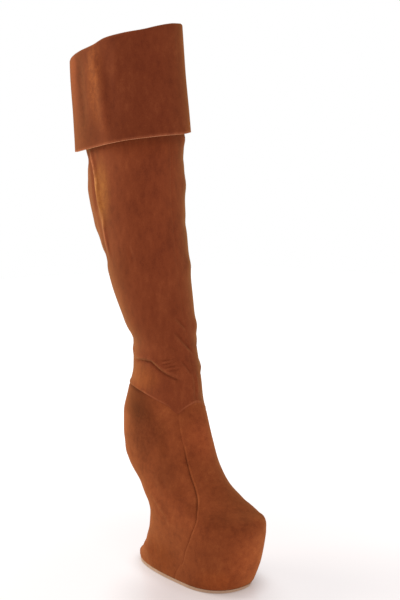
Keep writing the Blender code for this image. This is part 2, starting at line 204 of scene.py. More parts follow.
@dataclass(frozen=True)
class Crease:
    """A soft trough in the suede along a line, with a ridge beside it where the suede piles up.

    The line is (degrees, height) points. Its left, seen from outside when walking along it, is the
    positive side: above it where the line runs from heel to toe along the outer side. The trough has
    a depth and a width, less than nothing being a ridge. The lip is the ridge's height, how far to
    the left it runs, and its width. Each end fades over a share of the line. The last number is how
    pale a ridge is made, partly as worn nap and partly as a painted highlight, and how far a trough
    is darkened as painted shade.
    """

    TRACE_POINTS = 120
    WIDTHS_REACHED = 3.0

    line: tuple[Place, ...]
    trough: float
    width: float
    lip: float = 0.0
    lip_at: float = 3.0
    lip_width: float = 2.5
    fade: float = 0.25
    pale_and_shade_strength: float = 0.55

    def lift(self, points: np.ndarray) -> np.ndarray:
        """How far the crease moves points of the skin outwards.

        Args:
            points: Points on the skin before the toe spring.

        Returns:
            One length for each point.
        """
        knots = np.linspace(0.0, 1.0, len(self.line))
        share = np.linspace(0.0, 1.0, self.TRACE_POINTS)
        degrees = Curve(tuple(zip(knots, [place[0] for place in self.line]))).at(share)
        height = Curve(tuple(zip(knots, [place[1] for place in self.line]))).at(share)
        trace = FORM.outline(np.radians(degrees), height)
        ahead = np.gradient(trace, axis=0)
        ahead = ahead / np.linalg.norm(ahead, axis=1, keepdims=True)
        left = np.cross(FORM.normal(np.radians(degrees), height), ahead)
        margin = abs(self.lip_at) + self.WIDTHS_REACHED * max(self.width, self.lip_width)
        low = trace.min(axis=0) - margin
        high = trace.max(axis=0) + margin
        near = np.all((points > low) & (points < high), axis=1)
        lift = np.zeros(len(points))
        if not near.any():
            return lift
        away = points[near][:, None, :] - trace[None]
        closest = np.argmin(np.sum(away**2, axis=2), axis=1)
        offset = away[np.arange(len(closest)), closest]
        across = np.sum(offset * left[closest], axis=1)
        past = np.sum(offset**2, axis=1) - across**2
        ends = np.clip(np.minimum(share, 1.0 - share) / max(self.fade, 1e-6), 0.0, 1.0)
        strength = (ends**2 * (3.0 - 2.0 * ends))[closest] * np.exp(-past / self.width**2)
        shape = -self.trough * np.exp(-((across / self.width) ** 2))
        shape += self.lip * np.exp(-(((across - self.lip_at) / self.lip_width) ** 2))
        lift[near] = shape * strength
        return lift


def pressed(creases: tuple[Crease, ...], points: np.ndarray) -> tuple[np.ndarray, np.ndarray]:
    """What a set of creases does to a skin.

    Args:
        creases: The creases.
        points: Points on the skin before the toe spring.

    Returns:
        How far each point moves outwards, and its pale-and-shade mark: near 1 on a sharp ridge, worn
        nap and a painted highlight, near -1 in a sharp trough, painted shade, next to nothing on a
        wide swell.
    """
    lift = np.zeros(len(points))
    pale_and_shade = np.zeros(len(points))
    for crease in creases:
        moved = crease.lift(points)
        lift += moved
        # Pale on ridges, worn nap and a painted highlight; painted shade in troughs.
        pale_and_shade += crease.pale_and_shade_strength * moved / crease.width
    return lift, pale_and_shade


class Growth(Enum):
    """Which way a wall grows from its sheet."""

    INWARDS = -1.0
    BOTH_WAYS = 0.0
    OUTWARDS = 1.0


class Bench:
    """Operator steps that several pieces share."""

    @staticmethod
    def clear() -> None:
        """Deselect every object."""
        bpy.ops.object.select_all(action="DESELECT")

    @staticmethod
    def take(piece: bpy.types.Object) -> None:
        """Make a piece the only one selected, and the active one.

        Args:
            piece: The object to work on.
        """
        Bench.clear()
        piece.select_set(True)
        bpy.context.view_layer.objects.active = piece

    @staticmethod
    def sheet(name: str, columns: int, rows: int) -> bpy.types.Object:
        """A flat sheet to be laid over a form.

        Args:
            name: The piece's name.
            columns: Faces from side to side.
            rows: Faces from bottom to top.

        Returns:
            The new object, active and selected.
        """
        Bench.clear()
        bpy.ops.mesh.primitive_grid_add(x_subdivisions=columns, y_subdivisions=rows, size=2.0)
        sheet = bpy.context.active_object
        sheet.name = name
        sheet.data.name = name
        return sheet

    @staticmethod
    def lay(sheet: bpy.types.Object, surface: Surface) -> None:
        """Move a flat sheet's points onto a surface.

        Args:
            sheet: The object from Bench.sheet.
            surface: Gives millimetre points, and their pale-and-shade marks, for shares across and up it.
        """
        mesh = sheet.data
        flat = np.empty(3 * len(mesh.vertices))
        mesh.vertices.foreach_get("co", flat)
        share = flat.reshape(-1, 3)[:, :2] * 0.5 + 0.5
        points, pale_and_shade = surface(share[:, 0], share[:, 1])
        mesh.vertices.foreach_set("co", (points * MM).ravel())
        mesh.attributes.new("pale_and_shade", "FLOAT", "POINT").data.foreach_set("value", pale_and_shade)
        mesh.update()

    @staticmethod
    def close(piece: bpy.types.Object) -> None:
        """Join points that lie on each other, such as a tube's two edges.

        Args:
            piece: The object to close.
        """
        Bench.take(piece)
        bpy.ops.object.mode_set(mode="EDIT")
        bpy.ops.mesh.select_all(action="SELECT")
        bpy.ops.mesh.remove_doubles(threshold=MERGE_DISTANCE)
        bpy.ops.object.mode_set(mode="OBJECT")

    @staticmethod
    def thicken(piece: bpy.types.Object, wall: float, growth: Growth) -> None:
        """Give a sheet its wall, its back in the next material slot and its edges in the one after.

        Args:
            piece: The sheet.
            wall: Thickness in millimetres.
            growth: Which way the wall grows.
        """
        Bench.take(piece)
        solidify = piece.modifiers.new("wall", "SOLIDIFY")
        solidify.thickness = wall * MM
        solidify.offset = growth.value
        solidify.material_offset = 1
        solidify.material_offset_rim = 2
        bpy.ops.object.modifier_apply(modifier=solidify.name)

    @staticmethod
    def smooth(piece: bpy.types.Object, degrees: float = 42.0) -> None:
        """Shade a piece smooth, except across edges sharper than an angle."""
        Bench.take(piece)
        bpy.ops.object.shade_smooth_by_angle(angle=math.radians(degrees))


class Graph:
    """A node tree with short calls for the nodes that the finishes use."""

    def __init__(self, tree: bpy.types.NodeTree) -> None:
        """Work on a tree."""
        self.tree = tree

    def add(self, kind: str, **settings: object) -> bpy.types.Node:
        """Place a new node.

        Args:
            kind: The node's type.
            settings: Values for the node's own properties.

        Returns:
            The node.
        """
        node = self.tree.nodes.new(kind)
        for name, value in settings.items():
            setattr(node, name, value)
        return node

    def feed(self, socket: bpy.types.NodeSocket, value: object) -> None:
        """Link a socket to an input, or set the input to a value.

        Args:
            socket: The input.
            value: A socket to link, a value to set, or None to leave the input alone.
        """
        if isinstance(value, bpy.types.NodeSocket):
            self.tree.links.new(value, socket)
        elif value is not None:
            socket.default_value = value

    def math(self, operation: str, a: object, b: object = None, c: object = None) -> bpy.types.NodeSocket:
        """One sum on numbers or sockets.

        Args:
            operation: The node's operation.
            a: First term.
            b: Second term, where the operation has one.
            c: Third term, where the operation has one.

        Returns:
            The result.
        """
        node = self.add("ShaderNodeMath", operation=operation)
        for socket, value in zip(node.inputs, (a, b, c)):
            self.feed(socket, value)
        return node.outputs[0]

    def weighted(self, *terms: tuple[object, float]) -> bpy.types.NodeSocket:
        """Weighted sum of sockets.

        Args:
            terms: Each socket with its weight.

        Returns:
            The sum.
        """
        first, weight = terms[0]
        total = self.math("MULTIPLY", first, weight)
        for value, weight in terms[1:]:
            total = self.math("MULTIPLY_ADD", value, weight, total)
        return total

    def noise(self, vector: object, scale: object, detail: float, roughness: float) -> bpy.types.NodeSocket:
        """Cloudy values about 0.5.

        Args:
            vector: The coordinates that they lie over.
            scale: How fine they are.
            detail: How many finer layers they hold.
            roughness: How strong the finer layers are.

        Returns:
            The values.
        """
        node = self.add("ShaderNodeTexNoise")
        self.feed(node.inputs["Vector"], vector)
        self.feed(node.inputs["Scale"], scale)
        node.inputs["Detail"].default_value = detail
        node.inputs["Roughness"].default_value = roughness
        return node.outputs["Fac"]

    def ramp(self, value: object, low: object, high: object) -> bpy.types.NodeSocket:
        """Smooth step of a value.

        Args:
            value: What to step.
            low: Where the step is 0.
            high: Where it is 1.

        Returns:
            The step.
        """
        node = self.add("ShaderNodeMapRange", interpolation_type="SMOOTHSTEP")
        self.feed(node.inputs["Value"], value)
        self.feed(node.inputs["From Min"], low)
        self.feed(node.inputs["From Max"], high)
        return node.outputs["Result"]

    def vector(self, operation: str, a: object, b: object) -> bpy.types.NodeSocket:
        """One sum on vectors.

        Args:
            operation: The node's operation.
            a: First vector.
            b: Second vector.

        Returns:
            The result.
        """
        node = self.add("ShaderNodeVectorMath", operation=operation)
        self.feed(node.inputs[0], a)
        self.feed(node.inputs[1], b)
        return node.outputs[0]

    def mix(self, share: object, a: object, b: object, blend: str = "MIX") -> bpy.types.NodeSocket:
        """Blend of two colours.

        Args:
            share: How much of the second colour is laid over the first.
            a: First colour.
            b: Second colour.
            blend: How they combine.

        Returns:
            The colour.
        """
        node = self.add("ShaderNodeMix", data_type="RGBA", blend_type=blend)
        self.feed(node.inputs[0], share)
        self.feed(node.inputs[6], a)
        self.feed(node.inputs[7], b)
        return node.outputs[2]

    def stretched(self, scale: object) -> bpy.types.NodeSocket:
        """Object coordinates with their height scaled.

        Args:
            scale: The factor, under 1 to draw a pattern out up the leg.

        Returns:
            The coordinates.
        """
        place = self.add("ShaderNodeTexCoord").outputs["Object"]
        factor = self.add("ShaderNodeCombineXYZ")
        factor.inputs[0].default_value = 1.0
        factor.inputs[1].default_value = 1.0
        self.feed(factor.inputs[2], scale)
        return self.vector("MULTIPLY", place, factor.outputs[0])


class Socket(Enum):
    """Kinds of socket on a node group."""

    COLOR = "NodeSocketColor"
    VALUE = "NodeSocketFloat"
    VECTOR = "NodeSocketVector"


class NodeGroups:
    """The shader node groups that more than one finish uses, each built once."""

    @staticmethod
    def start(name: str, inputs: dict[str, Socket],
              outputs: dict[str, Socket]) -> tuple[Graph, bpy.types.Node, bpy.types.Node]:
        """An empty group with its sockets.

        Args:
            name: The group's name.
            inputs: Socket kinds by name.
            outputs: Socket kinds by name.

        Returns:
            The group's graph and its input and output nodes.
        """
        tree = bpy.data.node_groups.new(name, "ShaderNodeTree")
        for label, kind in inputs.items():
            tree.interface.new_socket(name=label, in_out="INPUT", socket_type=kind.value)
        for label, kind in outputs.items():
            tree.interface.new_socket(name=label, in_out="OUTPUT", socket_type=kind.value)
        graph = Graph(tree)
        return graph, graph.add("NodeGroupInput"), graph.add("NodeGroupOutput")

    @staticmethod
    def nap() -> bpy.types.NodeTree:
        """Suede: patches, mottling and short fibres over object coordinates.

        Returns:
            The group, built at the first call.
        """
        known = bpy.data.node_groups.get("nap")
        if known:
            return known
        graph, given, out = NodeGroups.start(
            "nap",
            {"Deep": Socket.COLOR, "Base": Socket.COLOR, "Brushed": Socket.COLOR, "Stretch": Socket.VALUE},
            {"Color": Socket.COLOR, "Roughness": Socket.VALUE, "Height": Socket.VALUE},
        )
        place = graph.stretched(given.outputs["Stretch"])
        plain = graph.stretched(1.0)
        patches = graph.noise(place, scale=30.0, detail=2.0, roughness=0.5)
        mottle = graph.noise(place, scale=150.0, detail=3.0, roughness=0.6)
        fibre = graph.noise(plain, scale=800.0, detail=3.0, roughness=0.7)
        blend = graph.weighted((mottle, 0.36), (patches, 0.34), (fibre, 0.30))
        upright = graph.ramp(blend, low=0.36, high=0.52)
        laid = graph.ramp(blend, low=0.50, high=0.66)
        color = graph.mix(upright, given.outputs["Deep"], given.outputs["Base"])
        graph.feed(out.inputs["Color"], graph.mix(laid, color, given.outputs["Brushed"]))
        graph.feed(out.inputs["Roughness"], graph.math("MULTIPLY_ADD", mottle, 0.15, 0.82))
        graph.feed(out.inputs["Height"], graph.weighted((fibre, 0.5), (mottle, 0.5)))
        return graph.tree

    @staticmethod
    def brushed_nap_and_painted_light() -> bpy.types.NodeTree:
        """A soft patch whose tone multiplies the colour, most of them painted light and painted shade,
        broken up by specks as far as asked.

        Returns:
            The group, built at the first call.
        """
        known = bpy.data.node_groups.get("brushed_nap_and_painted_light")
        if known:
            return known
        graph, given, out = NodeGroups.start(
            "brushed_nap_and_painted_light",
            {"Color": Socket.COLOR, "Tone": Socket.COLOR, "Middle": Socket.VECTOR, "Radii": Socket.VECTOR,
             "Broken": Socket.VALUE},
            {"Color": Socket.COLOR},
        )
        place = graph.add("ShaderNodeTexCoord").outputs["Object"]
        away = graph.vector("SUBTRACT", place, given.outputs["Middle"])
        far = graph.add("ShaderNodeVectorMath", operation="LENGTH")
        graph.feed(far.inputs[0], graph.vector("DIVIDE", away, given.outputs["Radii"]))
        inside = graph.math("SUBTRACT", 1.0, graph.ramp(far.outputs["Value"], low=0.2, high=1.0))
        cloud = graph.noise(place, scale=220.0, detail=3.0, roughness=0.6)
        specks = graph.ramp(cloud, low=0.42, high=0.60)
        whole = graph.math("SUBTRACT", 1.0, given.outputs["Broken"])
        cover = graph.math("MULTIPLY_ADD", specks, given.outputs["Broken"], whole)
        amount = graph.math("MULTIPLY", inside, cover)
        color = graph.mix(amount, given.outputs["Color"], given.outputs["Tone"], "MULTIPLY")
        graph.feed(out.inputs["Color"], color)
        return graph.tree

    @staticmethod
    def pale_and_shade_tint() -> bpy.types.NodeTree:
        """Suede made pale where the mesh marks it (worn nap and a painted highlight on ridges, the pale cut
        edge along the cuff's hem), and darkened as painted shade in creases, grooves and under the lap.

        Returns:
            The group, built at the first call.
        """
        known = bpy.data.node_groups.get("pale_and_shade_tint")
        if known:
            return known
        graph, given, out = NodeGroups.start(
            "pale_and_shade_tint",
            {"Color": Socket.COLOR, "Pale": Socket.COLOR, "Dark": Socket.COLOR, "Full": Socket.VALUE},
            {"Color": Socket.COLOR},
        )
        pale_and_shade = graph.add("ShaderNodeAttribute", attribute_name="pale_and_shade").outputs["Fac"]
        ridge = graph.ramp(pale_and_shade, 0.0, given.outputs["Full"])
        trough = graph.ramp(graph.math("MULTIPLY", pale_and_shade, -1.0), 0.0, 1.0)
        color = graph.mix(ridge, given.outputs["Color"], given.outputs["Pale"], "MULTIPLY")
        graph.feed(out.inputs["Color"], graph.mix(trough, color, given.outputs["Dark"], "MULTIPLY"))
        return graph.tree

    @staticmethod
    def grain() -> bpy.types.NodeTree:
        """Fine pebble of smooth leather, rubber, cork and metal, with slow changes of tone.

        Returns:
            The group, built at the first call.
        """
        known = bpy.data.node_groups.get("grain")
        if known:
            return known
        graph, given, out = NodeGroups.start(
            "grain",
            {"Base": Socket.COLOR, "Worn": Socket.COLOR, "Rough": Socket.VALUE, "Scale": Socket.VALUE},
            {"Color": Socket.COLOR, "Roughness": Socket.VALUE, "Height": Socket.VALUE},
        )
        place = graph.add("ShaderNodeTexCoord").outputs["Object"]
        tone = graph.noise(place, scale=45.0, detail=3.0, roughness=0.6)
        pebble = graph.noise(place, scale=given.outputs["Scale"], detail=2.0, roughness=0.5)
        worn = graph.ramp(tone, low=0.40, high=0.68)
        graph.feed(out.inputs["Color"], graph.mix(worn, given.outputs["Base"], given.outputs["Worn"]))
        graph.feed(out.inputs["Roughness"], graph.math("MULTIPLY_ADD", tone, 0.2, given.outputs["Rough"]))
        graph.feed(out.inputs["Height"], pebble)
        return graph.tree


class Finish:
    """What every finish shares: a material with one shader."""

    @staticmethod
    def start(name: str) -> tuple[bpy.types.Material, Graph, bpy.types.Node]:
        """A new material.

        Args:
            name: The material's name.

        Returns:
            The material, its graph and its Principled shader.
        """
        material = bpy.data.materials.new(name)
        material.use_nodes = True
        graph = Graph(material.node_tree)
        return material, graph, material.node_tree.nodes["Principled BSDF"]

    @staticmethod
    def group(graph: Graph, tree: bpy.types.NodeTree, **values: object) -> bpy.types.Node:
        """Place a node group in a material.

        Args:
            graph: The material's graph.
            tree: The group.
            values: Values or sockets for the group's inputs, by name.

        Returns:
            The group's node.
        """
        node = graph.add("ShaderNodeGroup", node_tree=tree)
        for name, value in values.items():
            graph.feed(node.inputs[name], value)
        return node

    @staticmethod
    def bump(graph: Graph, shader: bpy.types.Node, height: object, strength: float, distance: float) -> None:
        """Let heights bend the shader's normals.

        Args:
            graph: The material's graph.
            shader: The shader to bend.
            height: Heights from 0 to 1.
            strength: How far they count.
            distance: The full height in millimetres.
        """
        bump = graph.add("ShaderNodeBump")
        bump.inputs["Strength"].default_value = strength
        bump.inputs["Distance"].default_value = distance * MM
        graph.feed(bump.inputs["Height"], height)
        graph.feed(shader.inputs["Normal"], bump.outputs["Normal"])


@dataclass(frozen=True)
class ToneAndLightPatch:
    """A soft patch on the suede, in millimetres: most are painted light and painted shade, lit streaks and
    shadows, the rest plain changes of tone.

    tone multiplies the colour there, and broken is how far specks break the place up.
    """

    middle: Spot
    radii: Spot
    tone: Color
    broken: float = 0.0


@dataclass(frozen=True)
class Suede(Finish):
    """Matt suede whose nap lies in patches."""

    name: str
    deep: Color
    base: Color
    brushed_nap_and_painted_light: Color
    stretch: float = 1.0
    specular: float = 0.06
    sheen: float = 0.34
    sheen_roughness: float = 0.45
    sheen_tint: Color = (1.0, 0.46, 0.13)
    bump_strength: float = 0.6
    bump_depth: float = 0.35
    # Where the mesh is marked pale the colour is multiplied by pale: worn nap and a painted highlight on
    # ridges, the pale cut edge along the cuff's hem. The colour below multiplies it as painted shade in
    # creases, grooves and under the lap.
    pale: Color = (1.32, 1.48, 1.38)
    painted_shade_tone: Color = (0.55, 0.48, 0.46)
    full_pale: float = 1.0
    tone_and_light_patches: tuple[ToneAndLightPatch, ...] = ()

    def material(self) -> bpy.types.Material:
        """Make the finish.

        Returns:
            A new material.
        """
        material, graph, shader = self.start(self.name)
        nap = self.group(graph, NodeGroups.nap(), Deep=(*self.deep, 1.0), Base=(*self.base, 1.0),
                         Brushed=(*self.brushed_nap_and_painted_light, 1.0), Stretch=self.stretch)
        color = nap.outputs["Color"]
        # Patches of painted light and painted shade, and a few plain changes of tone.
        for tone_patch in self.tone_and_light_patches:
            brushed_nap_and_painted_light = self.group(graph, NodeGroups.brushed_nap_and_painted_light(), Color=color, Tone=(*tone_patch.tone, 1.0),
                                 Middle=tuple(MM * value for value in tone_patch.middle),
                                 Radii=tuple(MM * value for value in tone_patch.radii),
                                 Broken=tone_patch.broken)
            color = brushed_nap_and_painted_light.outputs["Color"]
        # Pale and painted shade from the mesh's marks.
        pale_and_shade_tint = self.group(graph, NodeGroups.pale_and_shade_tint(), Color=color, Pale=(*self.pale, 1.0),
                            Dark=(*self.painted_shade_tone, 1.0), Full=self.full_pale)
        graph.feed(shader.inputs["Base Color"], pale_and_shade_tint.outputs["Color"])
        graph.feed(shader.inputs["Roughness"], nap.outputs["Roughness"])
        shader.inputs["Specular IOR Level"].default_value = self.specular
        shader.inputs["Sheen Weight"].default_value = self.sheen
        shader.inputs["Sheen Roughness"].default_value = self.sheen_roughness
        shader.inputs["Sheen Tint"].default_value = (*self.sheen_tint, 1.0)
        self.bump(graph, shader, nap.outputs["Height"], self.bump_strength, self.bump_depth)
        return material


@dataclass(frozen=True)
class Grained(Finish):
    """Smooth leather, rubber, cork or metal with a fine pebble."""

    name: str
    base: Color
    worn: Color
    rough: float
    scale: float = 900.0
    specular: float = 0.35
    metallic: float = 0.0
    bump_strength: float = 0.5
    bump_depth: float = 0.15

    def material(self) -> bpy.types.Material:
        """Make the finish.

        Returns:
            A new material.
        """
        material, graph, shader = self.start(self.name)
        grain = self.group(graph, NodeGroups.grain(), Base=(*self.base, 1.0), Worn=(*self.worn, 1.0),
                           Rough=self.rough, Scale=self.scale)
        graph.feed(shader.inputs["Base Color"], grain.outputs["Color"])
        graph.feed(shader.inputs["Roughness"], grain.outputs["Roughness"])
        shader.inputs["Specular IOR Level"].default_value = self.specular
        shader.inputs["Metallic"].default_value = self.metallic
        self.bump(graph, shader, grain.outputs["Height"], self.bump_strength, self.bump_depth)
        return material


# Each patch is a middle, its radii, a tone and how far specks break it up.
SHAFT_SUEDE = Suede("shaft_suede", deep=(0.149, 0.0284, 0.0105), base=(0.197, 0.0399, 0.0140),
                    brushed_nap_and_painted_light=(0.245, 0.0556, 0.0195), stretch=0.5, sheen_tint=(1.0, 0.60, 0.20),
                    pale=(1.85, 2.50, 2.90), full_pale=1.6, tone_and_light_patches=(
                        # Painted highlight: the lit, golden band beside the long fold.
                        ToneAndLightPatch((-64.0, 124.0, 458.0), (13.0, 22.0, 56.0), (1.60, 2.45, 1.65), 0.3),
                        # Painted shade on the back of the calf behind the fold.
                        ToneAndLightPatch((-56.0, 158.0, 488.0), (10.0, 10.0, 42.0), (0.92, 0.90, 0.84)),
                        # Painted highlight where the outer back of the ankle catches the light.
                        ToneAndLightPatch((-34.0, 84.0, 236.0), (14.0, 42.0, 24.0), (1.38, 1.60, 1.22), 0.2),
                        # Painted shadow under the cuff's hem.
                        ToneAndLightPatch((-40.0, 100.0, 512.0), (80.0, 120.0, 18.0), (0.99, 0.97, 0.92)),
                        # Darker patches on the outer back of the calf and the outer front of the leg.
                        ToneAndLightPatch((-56.0, 96.0, 366.0), (18.0, 24.0, 40.0), (0.85, 0.81, 0.76)),
                        ToneAndLightPatch((-14.0, 47.0, 318.0), (36.0, 30.0, 80.0), (0.92, 0.91, 0.91)),
                        # Painted highlight on the lit back of the leg above the ankle.
                        ToneAndLightPatch((-26.0, 108.0, 280.0), (22.0, 24.0, 40.0), (1.22, 1.38, 1.25)),
                    ))
CUFF_SUEDE = Suede("cuff_suede", deep=(0.119, 0.0211, 0.0080), base=(0.156, 0.0304, 0.0109),
                   brushed_nap_and_painted_light=(0.196, 0.0438, 0.0156), stretch=0.6, pale=(1.6, 2.1, 2.5), tone_and_light_patches=(
                       # Painted highlight: the lit, golden streak down the outer back.
                       ToneAndLightPatch((-74.5, 121.0, 594.0), (18.0, 20.0, 72.0), (1.65, 2.05, 1.55), 0.5),
                       # Painted shade in the hollow beside it.
                       ToneAndLightPatch((-73.0, 150.0, 584.0), (14.0, 16.0, 80.0), (0.68, 0.61, 0.56), 0.5),
                       # Darker patches low on the cuff.
                       ToneAndLightPatch((-72.0, 146.0, 536.0), (20.0, 40.0, 34.0), (0.80, 0.72, 0.68), 0.3),
                       ToneAndLightPatch((-68.0, 84.0, 532.0), (20.0, 26.0, 30.0), (0.86, 0.80, 0.76), 0.2),
                       # Painted highlight on the back edge.
                       ToneAndLightPatch((-69.0, 173.0, 602.0), (14.0, 17.0, 72.0), (1.38, 1.25, 1.22), 0.3),
                       # A slightly darker patch and a lighter one on the outer side.
                       ToneAndLightPatch((-71.0, 100.0, 586.0), (14.0, 9.0, 36.0), (0.92, 0.90, 0.88), 0.4),
                       ToneAndLightPatch((-70.0, 106.0, 545.0), (14.0, 12.0, 30.0), (1.18, 1.22, 1.15), 0.4),
                   ))
FOOT_SUEDE = Suede("foot_suede", deep=(0.174, 0.0358, 0.0115), base=(0.235, 0.0525, 0.0163),
                   brushed_nap_and_painted_light=(0.298, 0.0755, 0.0236), stretch=0.9, painted_shade_tone=(0.36, 0.30, 0.29), tone_and_light_patches=(
                       # Painted shadow on the quarter under the shaft's lap, darkest in the corner at the
                       # back.
                       ToneAndLightPatch((-37.0, 78.0, 172.0), (30.0, 48.0, 58.0), (0.54, 0.43, 0.40), 0.2),
                       ToneAndLightPatch((-36.0, 98.0, 206.0), (24.0, 48.0, 36.0), (0.54, 0.44, 0.37)),
                       # Slightly darker patches down the quarter and the side.
                       ToneAndLightPatch((-34.5, 49.0, 173.0), (14.0, 20.0, 26.0), (0.78, 0.73, 0.70), 0.3),
                       ToneAndLightPatch((-38.0, 13.0, 106.0), (14.0, 20.0, 18.0), (0.78, 0.73, 0.70), 0.3),
                       ToneAndLightPatch((-37.0, 37.0, 125.0), (24.0, 30.0, 34.0), (0.75, 0.72, 0.72)),
                       ToneAndLightPatch((-34.5, 41.0, 153.0), (12.0, 13.0, 18.0), (0.80, 0.75, 0.70), 0.2),
                       ToneAndLightPatch((-36.5, 68.0, 190.0), (12.0, 18.0, 16.0), (0.82, 0.78, 0.72), 0.2),
                       # Redder and darker low on the outer side of the wedge.
                       ToneAndLightPatch((-46.0, 40.0, 25.0), (24.0, 50.0, 32.0), (0.82, 0.68, 0.50), 0.3),
                       # Painted light low on the outer side of the toe.
                       ToneAndLightPatch((-34.0, -50.0, 14.0), (30.0, 36.0, 22.0), (1.30, 1.30, 1.15)),
                       # Darker, speckled patches on the toe box.
                       ToneAndLightPatch((-30.0, -46.0, 85.0), (30.0, 30.0, 17.0), (0.68, 0.62, 0.59), 0.3),
                       ToneAndLightPatch((-38.0, -16.0, 96.0), (14.0, 20.0, 15.0), (0.75, 0.69, 0.66), 0.3),
                       # Painted light over the toe and on the top of the instep.
                       ToneAndLightPatch((12.0, -72.0, 30.0), (60.0, 54.0, 60.0), (1.44, 1.48, 1.42)),
                       ToneAndLightPatch((0.0, 12.0, 168.0), (34.0, 34.0, 40.0), (1.28, 1.26, 1.30)),
                   ))
CUT_EDGE = Suede("cut_edge", deep=(0.36, 0.125, 0.07), base=(0.44, 0.165, 0.10), brushed_nap_and_painted_light=(0.50, 0.20, 0.125))
LINING = Grained("lining", base=(0.16, 0.065, 0.036), worn=(0.20, 0.085, 0.05), rough=0.6)
SOLE_RUBBER = Grained("sole_rubber", base=(0.54, 0.35, 0.23), worn=(0.48, 0.30, 0.19), rough=0.6,
                      scale=1400.0)
SOCK_LEATHER = Grained("sock_leather", base=(0.42, 0.25, 0.15), worn=(0.34, 0.19, 0.11), rough=0.5)
WEDGE_CORK = Grained("wedge_cork", base=(0.45, 0.31, 0.20), worn=(0.30, 0.19, 0.11), rough=0.8, scale=350.0)
BRONZE_LEATHER = Grained("bronze_leather", base=(0.42, 0.19, 0.085), worn=(0.50, 0.25, 0.12), rough=0.36,
                         scale=700.0, specular=0.5, metallic=0.35)
STUD_METAL = Grained("stud_metal", base=(0.92, 0.62, 0.47), worn=(0.86, 0.55, 0.40), rough=0.12,
                     scale=300.0, specular=0.5, metallic=1.0, bump_depth=0.02)


def spaced(share: np.ndarray, crowd: float) -> np.ndarray:
    """Shares crowded towards both ends, evenly spaced where crowd is 0."""
    return share - crowd * np.sin(2.0 * math.pi * share) / (2.0 * math.pi)


def travelled(line: np.ndarray) -> np.ndarray:
    """Length of a line of points up to each of them."""
    return np.concatenate([[0.0], np.cumsum(np.linalg.norm(np.diff(line, axis=0), axis=1))])


@dataclass
class Skin:
    """What the suede panels share: a sheet laid on the form, its wall and its finishes."""

    wall: float = 1.6

    def panel(self, name: str, columns: int, rows: int, surface: Surface, suede: Suede,
              growth: Growth = Growth.INWARDS) -> bpy.types.Object:
        """Lay one suede panel.

        Args:
            name: The piece's name.
            columns: Faces from side to side.
            rows: Faces from bottom to top.
            surface: Gives the panel's outer face.
            suede: Finish of that face.
            growth: Which way the wall grows.

        Returns:
            The finished panel.
        """
        piece = Bench.sheet(name, columns, rows)
        Bench.lay(piece, surface)
        for finish in (suede, LINING, CUT_EDGE):
            known = bpy.data.materials.get(finish.name)
            piece.data.materials.append(known or finish.material())
        Bench.thicken(piece, self.wall, growth)
        Bench.smooth(piece)
        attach(piece, "root")
        return piece


# Height of the ankle seam by degrees from the toe, the same on both sides.
ANKLE_SEAM = Curve(((0.0, 211.0), (10.0, 209.5), (22.0, 206.0), (31.0, 202.0), (38.0, 198.0), (51.0, 206.5),
                    (65.0, 211.2), (76.0, 215.0), (94.0, 220.3), (112.0, 223.3), (180.0, 226.5)))

# The front of the ankle falls in a little where the two panels meet.
INSTEP_DENT = Crease(((-14.0, 214.0), (14.0, 215.0), (46.0, 212.0)), 1.8, 9.0, fade=0.3)


def around(phi: np.ndarray) -> np.ndarray:
    """Angles in radians as degrees from -180 to 180."""
    return np.degrees(np.arctan2(np.sin(phi), np.cos(phi)))


def ankle_seam(phi: np.ndarray) -> np.ndarray:
    """Height of the ankle seam at angles in radians."""
    return ANKLE_SEAM.at(np.abs(around(phi)))


class SideSeam(Enum):
    """The side seams that a panel starts and ends at, going round the boot."""

    OUTER = "outer"
    INNER = "inner"
    OUTER_ROUND_THE_BACK = "outer, reached round the back"


